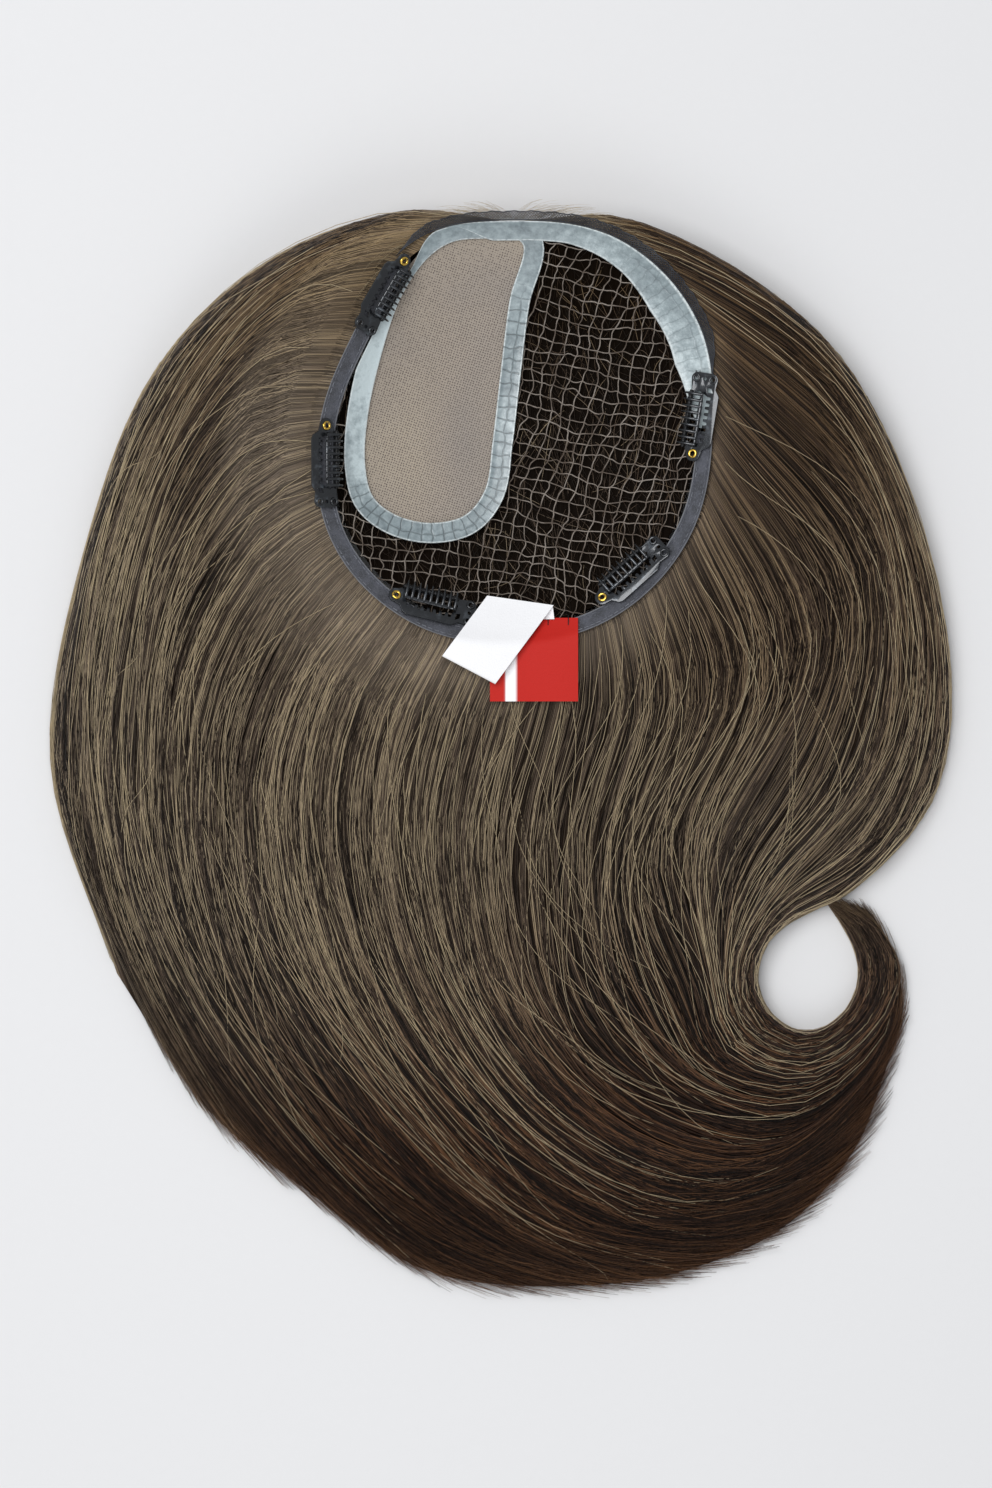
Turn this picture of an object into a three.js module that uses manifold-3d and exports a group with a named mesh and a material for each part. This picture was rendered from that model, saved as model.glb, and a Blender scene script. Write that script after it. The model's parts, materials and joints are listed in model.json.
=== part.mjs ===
// Clip-in hair topper lying on its back: the inside of the base faces up like a shallow bowl and
// the long hair leaves its edge all round and lies fanned out, with one lock curled into a loop.
// Millimetres. +X is towards the side of the curled lock, +Y the front of the base, +Z up.
import * as THREE from "three";
import { mergeVertices } from "three/addons/utils/BufferGeometryUtils.js";
import Module from "manifold-3d";

const wasm = await Module();
wasm.setup();

// Base
const BASE_WIDTH = 139.2; // side to side, over the average edge
const BASE_LENGTH = 145.4; // front to back
const BOWL_DEPTH = 17; // from the middle of the net up to the edge
const BOWL_LEAN = 3; // the left edge stands this much higher than the average, the right lower
const BOWL_ROUNDNESS = 2.6; // power of the bowl's profile: 2 is a dish, more is a pan
const LEAN_ROUNDNESS = 1.7; // how much of the lean's share of the depth goes into that power
const UNDER_THICKNESS = 13; // hair below the middle of the net
const SHEET = 1; // thickness of net, gauze, skin and lace as built
const TAPE_WIDTH = 5.5;
const TAPE_THICKNESS = 1.2;
const LACE_WIDTH = 3;
const NET_LEAN = 15; // degrees by which the long threads lean
const NET_DROP = 9; // degrees by which the cross threads drop
const NET_CELL = 10.4; // the coarse net as built; each real cell is under half of this
const NET_THREAD = 1.3;
const NET_THICKNESS = 0.8;
const SMALLEST_NET_GAP = 10; // square millimetres
const GAP = 0.3; // between pieces that touch
const LAYER_GAP = 0.95; // between the layers of the base
const UNDER_GAP = 0.9; // from the hair below the net up to the net
const UNDER_SHARE = 0.91; // that hair reaches this share of the way to the edge

// Silk patch with its border, and the front band
const PATCH_WIDTH = 55.3;
const PATCH_LENGTH = 98.5;
const PATCH_SIDE_INSET = 16.75; // from the base's left edge to the gauze
const PATCH_FRONT_INSET = 6.25; // from the base's front edge to the gauze
const PATCH_TUCK = 3; // gauze that runs on under the border
const NET_TUCK = 1.5; // net that runs on under the tape and the band
const BORDER_WIDTH = 7;
const BAND_LAP = 0.05; // the front band is this much thicker than the border, above and below
const BAND_START = 96; // bearings of the front band's ends
const BAND_END = 0.5;
const TAPE_START = 128; // bearings of the tape's ends
const TAPE_END = 359.5;
const LACE_START = 126;
const LACE_END = 14;

// Hair
const HAIR_SPREAD = 228; // from the base's edge to the furthest tip, at the back
const HAIR_TUCK = 3.6; // how far the hair starts inside the edge, under the tape
const HAIR_THICKNESS = 9; // where it lies on the table
const TIP_THICKNESS = 3.4;
const FALL_WIDTH = 96; // the hair comes down from the edge to the table over this distance
const LEVEL_SHARE = 0.05; // share of that distance over which it stays level first
const LOCK_RELIEF = 2.2;
const LOCKS = 4; // in each section
const LOCK_FACES = 3; // across each lock
const CURL_HOLE = 35.5; // side to side
const ROOT_SHARE = 0.15; // share of a strand's length over which its root is drawn to the edge
const RELIEF_SHARE = 0.35; // locks stand out fully from this share of the length on
const THIN_SHARE = 0.72; // and thin out from this one on

// Snap clips
const CLIP_LENGTH = 31;
const CLIP_WIDTH = 12.4;
const CLIP_THICKNESS = 0.8;
const CLIP_END_WIDTH = 5.4;
const CLIP_TAB_WIDTH = 10;
const ARM_FROM = 0.16; // the wide arm's ends, as shares of the clip's length
const ARM_TO = 0.78;
const ARM_BLEND = 2; // length over which the arm narrows at each end
const RAIL_SHARE = 0.72; // the inner rail, as a share of half the clip's width
const ARM_SLOT_WIDTH = 1.8;
const TAB_HOLE = 1.5;
const TAB_HOLE_INSET = 2.1;
const EYELET_HOLE = 1.9;
const EYELET_RIM = 1.1; // how far the gold eyelet's head reaches past its hole
const EYELET_HEAD = 0.6;
const COMB_TEETH = 9;
const TOOTH_LENGTH = 6.2;
const TOOTH_WIDTH = 1.1;
const TOOTH_THICKNESS = 0.8;
const TOOTH_RISE = 16; // degrees above the plate
const TOOTH_INSET = 0.3; // from the comb's ends to its first and last tooth
const PIVOT_RADIUS = 0.75;
const TUBE_RADIUS = 0.7;

// Labels
const LABEL_THICKNESS = 1;
const RED_LABEL_WIDTH = 30.5;
const RED_LABEL_LENGTH = 29;
const RED_LABEL_INSET = 8.5; // from the edge in to where it is sewn
const WHITE_LABEL_WIDTH = 20.5;
const WHITE_LABEL_LENGTH = 25.5;
const WHITE_LABEL_INSET = 10.7;
const WHITE_LABEL_SKEW = 11; // its sewn end is folded askew by this much

const HALF_WIDTH = BASE_WIDTH / 2;
const HALF_LENGTH = BASE_LENGTH / 2;
const PATCH_RIGHT = PATCH_SIDE_INSET + PATCH_WIDTH / 2 - HALF_WIDTH;
const PATCH_FORWARD = HALF_LENGTH - PATCH_FRONT_INSET - PATCH_LENGTH / 2;
const RAD = Math.PI / 180;
const TAU = 2 * Math.PI;

// The edge's distance from the base's middle, as a share of the average, every 30 degrees from +X
const EDGE_SHARES = [0.975, 1.037, 1.04, 0.995, 1.03, 0.935, 0.985, 1.065, 1.06, 1.02, 1.015, 1];

// The visible gauze's outline from its middle: [share of PATCH_WIDTH, share of PATCH_LENGTH]
const PATCH_OUTLINE = [
  [0.223, 0.5], [0.49, 0.485], [0.412, 0.288], [0.349, 0.005], [0.305, -0.207], [0.255, -0.383],
  [0.129, -0.472], [-0.091, -0.5], [-0.311, -0.472], [-0.45, -0.409], [-0.5, -0.3],
  [-0.487, -0.136], [-0.406, 0.076], [-0.28, 0.288], [-0.123, 0.422], [0.035, 0.485],
];

// The front band's width along the edge: [bearing, millimetres]
const BAND_WIDTHS = [[96, 6.6], [75, 6.6], [55, 9], [40, 12], [20, 12], [8, 8.5], [0, 5]];

// Strands that guide the hair. Each has the bearing of its root on the edge and the places it
// passes, as [bearing, distance past the edge as a share of HAIR_SPREAD]. The last five go on round
// the curl: [share of length at which they enter it, place between its inside and outside, turns].
const GUIDES = [
  {
    root: 93,
    way: [[118.9, 0.055], [147, 0.176], [171.5, 0.272], [197, 0.385], [215.5, 0.549], [233, 0.698]],
  },
  {
    root: 120,
    way: [[139, 0.084], [164, 0.175], [190, 0.283], [211.6, 0.443], [230, 0.626], [245, 0.807]],
  },
  {
    root: 167,
    way: [[172, 0.098], [189.6, 0.216], [210, 0.36], [226.4, 0.542], [240.6, 0.694], [254, 0.874]],
  },
  {
    root: 201,
    way: [
      [203.6, 0.098], [214.8, 0.272], [226.6, 0.434],
      [240.8, 0.622], [254, 0.801], [264, 0.968],
    ],
  },
  {
    root: 225,
    way: [[227.5, 0.164], [235, 0.347], [246, 0.531], [258.4, 0.72], [267.3, 0.872], [275, 0.99]],
  },
  {
    root: 237,
    way: [
      [236.6, 0.153], [243, 0.338], [253.2, 0.535],
      [264.4, 0.729], [273, 0.884], [282.4, 0.987],
    ],
  },
  {
    root: 248,
    way: [
      [246.3, 0.154], [251, 0.343], [260.2, 0.552],
      [270.2, 0.749], [279.7, 0.894], [289, 0.963],
    ],
  },
  {
    root: 261,
    way: [
      [256.4, 0.131], [257.7, 0.324], [265, 0.557],
      [274.4, 0.753], [284, 0.878], [295.3, 0.898],
    ],
  },
  {
    root: 274,
    way: [
      [267.6, 0.123], [264.8, 0.315], [269.8, 0.566],
      [278.5, 0.755], [288.5, 0.859], [299.6, 0.824],
    ],
  },
  {
    root: 298,
    way: [
      [292.5, 0.12], [280, 0.325], [279.4, 0.533], [284.5, 0.699],
      [292.4, 0.805], [300, 0.787], [304.7, 0.733],
    ],
  },
  {
    root: 324,
    way: [[310.7, 0.179], [290.2, 0.357]],
    curl: [0.53, 0.56, 6],
  },
  {
    root: 355,
    way: [[325.4, 0.241], [295.2, 0.4]],
    curl: [0.57, 0.4, 7],
  },
  {
    root: 382,
    way: [[343.4, 0.269], [316, 0.424], [298.7, 0.478]],
    curl: [0.61, 0.25, 7],
  },
  {
    root: 414,
    way: [[5.3, 0.199], [332.6, 0.409], [312.6, 0.511], [299.2, 0.513]],
    curl: [0.65, 0.12, 7],
  },
  {
    root: 448,
    way: [[61, 0.038], [14.7, 0.196], [337.7, 0.405], [320, 0.534], [306, 0.553], [298.6, 0.535]],
    curl: [0.64, 0, 7],
  },
];

// The curl's middle, and its turns: [bearing, inside, outside], both as shares of half CURL_HOLE
const CURL_MIDDLE = [298.6, 0.617];
const CURL_TURNS = [
  [180, 1, 2.94], [225, 1.1, 3.1], [270, 1.24, 2.75], [315, 1.12, 2.35],
  [0, 1.06, 2.5], [42, 1.1, 2.2], [66, 1.29, 1.69],
];

// Hair sections: name, first and last guide
const SECTIONS = [
  ["hair_front_left", 0, 2],
  ["hair_left", 2, 4],
  ["hair_back_left", 4, 6],
  ["hair_back", 6, 8],
  ["hair_back_right", 8, 11],
  ["hair_front_right", 11, 14],
];

// Places along the guides at which a section is shaped, closer together round the curl
const STATIONS = [
  0, 0.03, 0.08, 0.14, 0.22, 0.31, 0.4, 0.48, 0.55, 0.6, 0.65, 0.7, 0.75, 0.8, 0.85, 0.9, 0.95, 1,
];

// Snap clips: name, bearing, share of the edge's distance, turn from the edge's own direction
const CLIPS = [
  ["front_left", 135.4, 0.945, 13],
  ["left", 189.5, 0.955, -8.7],
  ["back_left", 243, 0.885, 16.5],
  ["back_right", 309.6, 0.876, 2.7],
  ["right", 3.9, 0.93, -14.7],
];

const HAIR = new THREE.MeshStandardMaterial({ color: 0x2f2620, roughness: 0.55, metalness: 0 });
const NET = new THREE.MeshStandardMaterial({ color: 0x6e6152, roughness: 0.7, metalness: 0 });
const SILK = new THREE.MeshStandardMaterial({ color: 0xb09e91, roughness: 0.8, metalness: 0 });
const SKIN = new THREE.MeshStandardMaterial({ color: 0x96a5af, roughness: 0.35, metalness: 0 });
const TAPE = new THREE.MeshStandardMaterial({ color: 0x46484f, roughness: 0.7, metalness: 0 });
const LACE = new THREE.MeshStandardMaterial({ color: 0x54565a, roughness: 0.8, metalness: 0 });
const BLACK = new THREE.MeshStandardMaterial({ color: 0x17181b, roughness: 0.35, metalness: 0.4 });
const SOFT_BLACK = new THREE.MeshStandardMaterial({ color: 0x141416, roughness: 0.6, metalness: 0 });
const GOLD = new THREE.MeshStandardMaterial({ color: 0xc79a3c, roughness: 0.25, metalness: 1 });
const RED = new THREE.MeshStandardMaterial({ color: 0xb5281c, roughness: 0.6, metalness: 0 });
const WHITE = new THREE.MeshStandardMaterial({ color: 0xe4e4e6, roughness: 0.5, metalness: 0 });

const clamp = THREE.MathUtils.clamp;
const mix = THREE.MathUtils.lerp;
const smooth = (x) => THREE.MathUtils.smoothstep(x, 0, 1);

// Evenly spaced numbers from a to b
function spaced(a, b, count) {
  return Array.from({ length: count }, (unused, i) => mix(a, b, i / (count - 1)));
}

// Straight-line reading of a table of [x, value] rows whose x falls or rises steadily
function read(rows, x) {
  const rising = rows[1][0] > rows[0][0];
  const last = rows.length - 1;
  let i = 0;
  while (i < last - 1 && (rising ? x > rows[i + 1][0] : x < rows[i + 1][0])) i += 1;
  const f = clamp((x - rows[i][0]) / (rows[i + 1][0] - rows[i][0]), 0, 1);
  return mix(rows[i][1], rows[i + 1][1], f);
}

// The edge's share at a bearing, as a closed smooth curve through EDGE_SHARES
function edgeShare(bearing) {
  const count = EDGE_SHARES.length;
  const t = ((((bearing % 360) + 360) % 360) / 360) * count;
  const i = Math.floor(t);
  const f = t - i;
  const [a, b, c, d] = [-1, 0, 1, 2].map((k) => EDGE_SHARES[(i + k + count) % count]);
  return b + 0.5 * f * (c - a + f * (2 * a - 5 * b + 4 * c - d + f * (3 * (b - c) + d - a)));
}

// Plan point at a bearing, a distance past the edge; negative is inside
function pastEdge(bearing, distance) {
  const share = edgeShare(bearing);
  const turn = bearing * RAD;
  return [
    (HALF_WIDTH * share + distance) * Math.cos(turn),
    (HALF_LENGTH * share + distance) * Math.sin(turn),
  ];
}

// Plan point at a bearing, at a share of the edge's distance
function insideEdge(bearing, share) {
  const [x, y] = pastEdge(bearing, 0);
  return [x * share, y * share];
}

// Bearing and share of the edge's distance of a plan point
function fromEdge(x, y) {
  const across = x / HALF_WIDTH;
  const along = y / HALF_LENGTH;
  const bearing = Math.atan2(along, across) / RAD;
  return { bearing, share: Math.hypot(across, along) / edgeShare(bearing) };
}

// Height of the bowl at a plan point; past the edge it stays level with the edge
function bowl(x, y) {
  const { bearing, share } = fromEdge(x, y);
  const side = Math.cos(bearing * RAD);
  const depth = BOWL_DEPTH - BOWL_LEAN * side;
  const power = BOWL_ROUNDNESS - LEAN_ROUNDNESS * (BOWL_LEAN / BOWL_DEPTH) * side;
  return UNDER_THICKNESS + depth * Math.min(share, 1) ** power;
}

// Upper face of the hair: level just past the edge, then falling in a smooth arc to the table
function hairTop(x, y) {
  const { bearing } = fromEdge(x, y);
  const crest = bowl(x, y) + SHEET - GAP;
  const [edgeX, edgeY] = pastEdge(bearing, 0);
  const past = Math.hypot(x, y) - Math.hypot(edgeX, edgeY);
  const fall = clamp(past / FALL_WIDTH - LEVEL_SHARE, 0, 1);
  return mix(HAIR_THICKNESS, crest, 0.5 + 0.5 * Math.cos(Math.PI * fall));
}

// Mesh geometry from a list of [x, y, z] points and triangles, turned so that its faces point out
function closedGeometry(points, triangles) {
  let volume = 0;
  for (const [a, b, c] of triangles) {
    const [p, q, r] = [points[a], points[b], points[c]];
    volume += p[0] * (q[1] * r[2] - q[2] * r[1]) + p[1] * (q[2] * r[0] - q[0] * r[2])
      + p[2] * (q[0] * r[1] - q[1] * r[0]);
  }
  const geometry = new THREE.BufferGeometry();
  geometry.setAttribute("position", new THREE.Float32BufferAttribute(points.flat(), 3));
  geometry.setIndex(triangles.flatMap((t) => (volume < 0 ? [t[0], t[2], t[1]] : t)));
  return geometry;
}

// Closed solid over a grid of plan points, from a lower to an upper height. A ring's last row
// joins its first. The underside may use only every so many columns.
function slab(grid, lower, upper, { ring = false, every = 1 } = {}) {
  const rows = grid.length;
  const columns = grid[0].length;
  const layer = rows * columns;
  const height = (surface) => grid.flatMap(
    (row, i) => row.map(([x, y], j) => [x, y, surface(x, y, i, j)]),
  );
  const points = [...height(lower), ...height(upper)];
  const triangles = [];
  const quad = (a, b, c, d) => triangles.push([a, b, c], [a, c, d]);
  const at = (i, j) => (i % rows) * columns + j;
  const last = columns - 1;
  for (let i = 0; i < (ring ? rows : rows - 1); i += 1) {
    for (let j = 0; j < last; j += 1) {
      quad(layer + at(i, j), layer + at(i + 1, j), layer + at(i + 1, j + 1), layer + at(i, j + 1));
    }
    for (let j = 0; j < last; j += every) {
      quad(at(i, j), at(i, j + every), at(i + 1, j + every), at(i + 1, j));
    }
    quad(at(i, 0), at(i + 1, 0), layer + at(i + 1, 0), layer + at(i, 0));
    quad(at(i + 1, last), at(i, last), layer + at(i, last), layer + at(i + 1, last));
  }
  // End walls: a fan from each lower point to the upper points above it
  for (const [i, turned] of ring ? [] : [[0, false], [rows - 1, true]]) {
    for (let j = 0; j < last; j += every) {
      const wall = [[at(i, j + every), at(i, j), layer + at(i, j + every)]];
      for (let k = j; k < j + every; k += 1) wall.push([at(i, j), layer + at(i, k), layer + at(i, k + 1)]);
      triangles.push(...wall.map(([p, q, r]) => (turned ? [q, p, r] : [p, q, r])));
    }
  }
  return closedGeometry(points, triangles);
}

// Grid of plan points that fills a closed outline, in rows from side to side. Each end of the
// outline is cut level over a small share of it.
const LEVEL_END = 0.014;

function filledGrid(outline, rows, columns) {
  return spaced(LEVEL_END, 0.5 - LEVEL_END, rows).map((t) => {
    const [left, right] = [outline(t), outline(1 - t)];
    return spaced(0, 1, columns).map((f) => [mix(left[0], right[0], f), mix(left[1], right[1], f)]);
  });
}

// Conversion between three.js geometry and a solid that can be joined and cut
function toSolid(geometry) {
  const plain = geometry.clone();
  plain.deleteAttribute("normal");
  plain.deleteAttribute("uv");
  const merged = mergeVertices(plain, 1e-4);
  return new wasm.Manifold(new wasm.Mesh({
    numProp: 3,
    vertProperties: new Float32Array(merged.attributes.position.array),
    triVerts: new Uint32Array(merged.index.array),
  }));
}

function toGeometry(solid) {
  const mesh = solid.getMesh();
  const geometry = new THREE.BufferGeometry();
  const positions = [];
  for (let i = 0; i < mesh.vertProperties.length; i += mesh.numProp) {
    positions.push(...mesh.vertProperties.subarray(i, i + 3));
  }
  geometry.setAttribute("position", new THREE.Float32BufferAttribute(positions, 3));
  geometry.setIndex(Array.from(mesh.triVerts));
  return geometry;
}

// Upright prism over a closed list of plan points
function prism(outline, bottom, height) {
  const shape = new THREE.Shape(outline.map(([x, y]) => new THREE.Vector2(x, y)));
  const geometry = new THREE.ExtrudeGeometry(shape, { depth: height, bevelEnabled: false });
  return geometry.translate(0, 0, bottom);
}

function named(name, geometry, material) {
  const mesh = new THREE.Mesh(geometry, material);
  mesh.name = name;
  return mesh;
}

// The guide as a curve in plan; the ones that curl go on round the curl's middle. The curve's
// lengths are measured in steps.
const CURVE_STEPS = 60;

function guideCurve(guide) {
  const curlMiddle = pastEdge(CURL_MIDDLE[0], CURL_MIDDLE[1] * HAIR_SPREAD);
  const places = [[guide.root, 0], ...guide.way].map(([b, share]) => pastEdge(b, share * HAIR_SPREAD));
  if (guide.curl) {
    const [, across, turns] = guide.curl;
    for (const [bearing, inner, outer] of CURL_TURNS.slice(0, turns)) {
      const radius = mix(inner, outer, across) * CURL_HOLE / 2;
      places.push([
        curlMiddle[0] + radius * Math.cos(bearing * RAD),
        curlMiddle[1] + radius * Math.sin(bearing * RAD),
      ]);
    }
  }
  const points = places.map(([x, y]) => new THREE.Vector3(x, y, 0));
  const curve = new THREE.CatmullRomCurve3(points, false, "centripetal");
  const steps = CURVE_STEPS * (places.length - 1);
  curve.arcLengthDivisions = steps;
  const lengths = curve.getLengths(steps);
  const entry = guide.curl ? guide.curl[0] : 1;
  const entryStep = guide.curl ? CURVE_STEPS * (guide.way.length + 1) : steps;
  const entryShare = lengths[entryStep] / lengths[steps];
  return (v) => {
    const share = v <= entry
      ? (v / entry) * entryShare
      : mix(entryShare, 1, (v - entry) / (1 - entry));
    const { x, y } = curve.getPointAt(clamp(share, 0, 1));
    return [x, y];
  };
}

const GUIDE_CURVES = GUIDES.map(guideCurve);

// Plan point of the hair at a place between the guides (u, in guides) and along them (v, 0 to 1).
// Its root is drawn out to the edge of the base.
function hairPoint(u, v) {
  const i = Math.min(Math.floor(u), GUIDES.length - 2);
  const f = u - i;
  const between = (t) => {
    const [a, b] = [GUIDE_CURVES[i](t), GUIDE_CURVES[i + 1](t)];
    return [mix(a[0], b[0], f), mix(a[1], b[1], f)];
  };
  const root = pastEdge(mix(GUIDES[i].root, GUIDES[i + 1].root, f), 0);
  const chord = between(0);
  const pull = smooth(1 - v / ROOT_SHARE);
  const [x, y] = between(v);
  return [x + (root[0] - chord[0]) * pull, y + (root[1] - chord[1]) * pull];
}

// Hair section between two guides: flat below, scalloped in locks above, thin at its tips and
// where it ends the whole fan. Its first row lies under the edge tape.
function hairSection(first, last) {
  const columns = LOCKS * LOCK_FACES + 1;
  const us = spaced(first, last, columns);
  const vs = [-1, ...STATIONS];
  const rootShare = 1 - HAIR_TUCK / HALF_WIDTH;
  const grid = vs.map((v) => us.map((u) => {
    if (v >= 0) return hairPoint(u, v);
    const [x, y] = hairPoint(u, 0);
    return [x * rootShare, y * rootShare];
  }));
  // Each side is drawn in by half a gap, square to the strands
  const sides = [[0, 1], [columns - 1, columns - 2]];
  grid.forEach((row, i) => {
    const before = grid[Math.max(i - 1, 0)];
    const after = grid[Math.min(i + 1, grid.length - 1)];
    for (const [j, inner] of sides) {
      const along = [after[j][0] - before[j][0], after[j][1] - before[j][1]];
      const size = Math.hypot(...along);
      const across = [row[inner][0] - row[j][0], row[inner][1] - row[j][1]];
      const toInside = across[1] * along[0] - across[0] * along[1];
      const sign = Math.sign(toInside) * (GAP / 2) / size;
      row[j] = [row[j][0] - along[1] * sign, row[j][1] + along[0] * sign];
    }
  });
  const top = (x, y, i, j) => {
    const v = Math.max(vs[i], 0);
    const rise = smooth(v / RELIEF_SHARE) * LOCK_RELIEF;
    const ridge = Math.abs(Math.sin((Math.PI * j) / LOCK_FACES)) * rise;
    const thin = smooth((v - THIN_SHARE) / (1 - THIN_SHARE));
    const full = mix(hairTop(x, y) - rise / 2 + ridge, TIP_THICKNESS + ridge * 0.3, thin);
    const fanEdge = (first === 0 && j === 0) || (last === GUIDES.length - 1 && j === columns - 1);
    return fanEdge ? mix(full, TIP_THICKNESS, smooth((v - 0.02) / 0.2)) : full;
  };
  return slab(grid, () => 0, top, { every: LOCK_FACES });
}

// Cushion of hair below the net
function hairUnder() {
  const outline = (t) => insideEdge(90 + 360 * t, UNDER_SHARE);
  return slab(filledGrid(outline, 15, 12), () => 0, (x, y) => bowl(x, y) - UNDER_GAP);
}

// The gauze's outline, let out by a margin and kept inside the edge
const patchCurve = new THREE.CatmullRomCurve3(
  PATCH_OUTLINE.map(([across, along]) => new THREE.Vector3(
    PATCH_RIGHT + across * PATCH_WIDTH, PATCH_FORWARD + along * PATCH_LENGTH, 0,
  )),
  true,
  "centripetal",
);

function patchOutline(t, margin, inset) {
  const place = patchCurve.getPointAt(((t % 1) + 1) % 1);
  const tangent = patchCurve.getTangentAt(((t % 1) + 1) % 1);
  const [x, y] = [place.x - tangent.y * margin, place.y + tangent.x * margin];
  const { bearing, share } = fromEdge(x, y);
  const most = 1 - inset(bearing) / HALF_WIDTH;
  return share > most ? [(x * most) / share, (y * most) / share] : [x, y];
}

// How far in from the edge the tape or the front band reaches, by bearing
function trimWidth(bearing) {
  const front = bearing > BAND_END && bearing < TAPE_START;
  return front ? read(BAND_WIDTHS, bearing) : TAPE_WIDTH;
}

// Strip of the base between two distances from its edge, over a range of bearings
function edgeStrip(start, end, outer, inner, rows) {
  return spaced(start, end, rows).map((bearing) => {
    const outside = pastEdge(bearing, outer);
    const inside = pastEdge(bearing, inner(bearing));
    return [outside, inside];
  });
}

const aboveBowl = (lift) => (x, y) => bowl(x, y) + lift;
const SKIN_LIFT = SHEET + LAYER_GAP;

// Border of clear skin round the gauze, joined to the band along the front
function skinBorder() {
  const besideTape = (b) => (b > TAPE_START - 3 || b < 0 ? TAPE_WIDTH + 3 * GAP : 0);
  const ring = spaced(0, 1, 55).slice(0, -1).map((t) => [
    patchOutline(t, 0, () => 0),
    patchOutline(t, BORDER_WIDTH, besideTape),
  ]);
  const border = toSolid(slab(ring, aboveBowl(SKIN_LIFT), aboveBowl(SKIN_LIFT + SHEET), { ring: true }));
  const strip = edgeStrip(BAND_START, BAND_END, 0, (b) => -read(BAND_WIDTHS, b), 22);
  const [below, above] = [SKIN_LIFT - BAND_LAP, SKIN_LIFT + SHEET + BAND_LAP];
  const band = toSolid(slab(strip, aboveBowl(below), aboveBowl(above)));
  return toGeometry(border.add(band));
}

function edgeTape() {
  const strip = edgeStrip(TAPE_START, TAPE_END, 0, () => -TAPE_WIDTH, 50);
  return slab(strip, aboveBowl(SKIN_LIFT), aboveBowl(SKIN_LIFT + TAPE_THICKNESS));
}

function laceEdge() {
  const strip = edgeStrip(LACE_START, LACE_END, GAP + LACE_WIDTH, () => GAP, 26);
  return slab(strip, aboveBowl(SKIN_LIFT), aboveBowl(SKIN_LIFT + SHEET));
}

// Knotted net: a flat sheet with its gaps cut through, then bent to the bowl
function net() {
  const round = spaced(-180, 180, 55).slice(0, -1);
  const inEdge = (shift) => round.map((b) => pastEdge(b, shift - trimWidth(b)));
  const turns = spaced(1, 0, 41).slice(0, -1);
  const roundPatch = (margin) => turns.map((t) => patchOutline(t, margin, () => 0));
  const [below, depth] = [-NET_THICKNESS, 3 * NET_THICKNESS];
  const sheet = toSolid(prism(inEdge(NET_TUCK), 0, NET_THICKNESS))
    .subtract(toSolid(prism(roundPatch(PATCH_TUCK + 2 * GAP), below, depth)));
  const window = toSolid(prism(inEdge(-NET_THREAD / 2), below, depth))
    .subtract(toSolid(prism(roundPatch(BORDER_WIDTH), 2 * below, 2 * depth)));
  const across = [Math.cos(NET_DROP * RAD), -Math.sin(NET_DROP * RAD)];
  const along = [Math.sin(NET_LEAN * RAD), Math.cos(NET_LEAN * RAD)];
  const reach = Math.ceil(BASE_LENGTH / NET_CELL / 2) + 2;
  const hole = (NET_CELL - NET_THREAD) / 2;
  let gaps = null;
  for (let i = -reach; i <= reach; i += 1) {
    for (let j = -reach; j <= reach; j += 1) {
      const square = [[-1, -1], [1, -1], [1, 1], [-1, 1]].map(([s, t]) => {
        const [sideways, forward] = [i * NET_CELL + s * hole, j * NET_CELL + t * hole];
        return [0, 1].map((k) => sideways * across[k] + forward * along[k]);
      });
      const cell = toSolid(prism(square, below, depth)).intersect(window);
      if (cell.volume() / depth < SMALLEST_NET_GAP) continue;
      gaps = gaps ? gaps.add(cell) : cell;
    }
  }
  const cut = sheet.subtract(gaps).decompose().sort((a, b) => b.volume() - a.volume())[0];
  const geometry = toGeometry(cut);
  const position = geometry.attributes.position;
  for (let i = 0; i < position.count; i += 1) {
    position.setZ(i, position.getZ(i) + bowl(position.getX(i), position.getY(i)));
  }
  return geometry;
}

// Stamped plate of a snap clip, in its own frame: +X from the gold eyelet to the tab, +Y inward
const EYELET_X = CLIP_END_WIDTH / 2;
const ARM_START = CLIP_LENGTH * ARM_FROM;
const ARM_END = CLIP_LENGTH * ARM_TO;
const ARM_LENGTH = ARM_END - ARM_START;
const PIVOT_Y = -0.4;
const PIVOT_Z = CLIP_THICKNESS + GAP + PIVOT_RADIUS;

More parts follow.
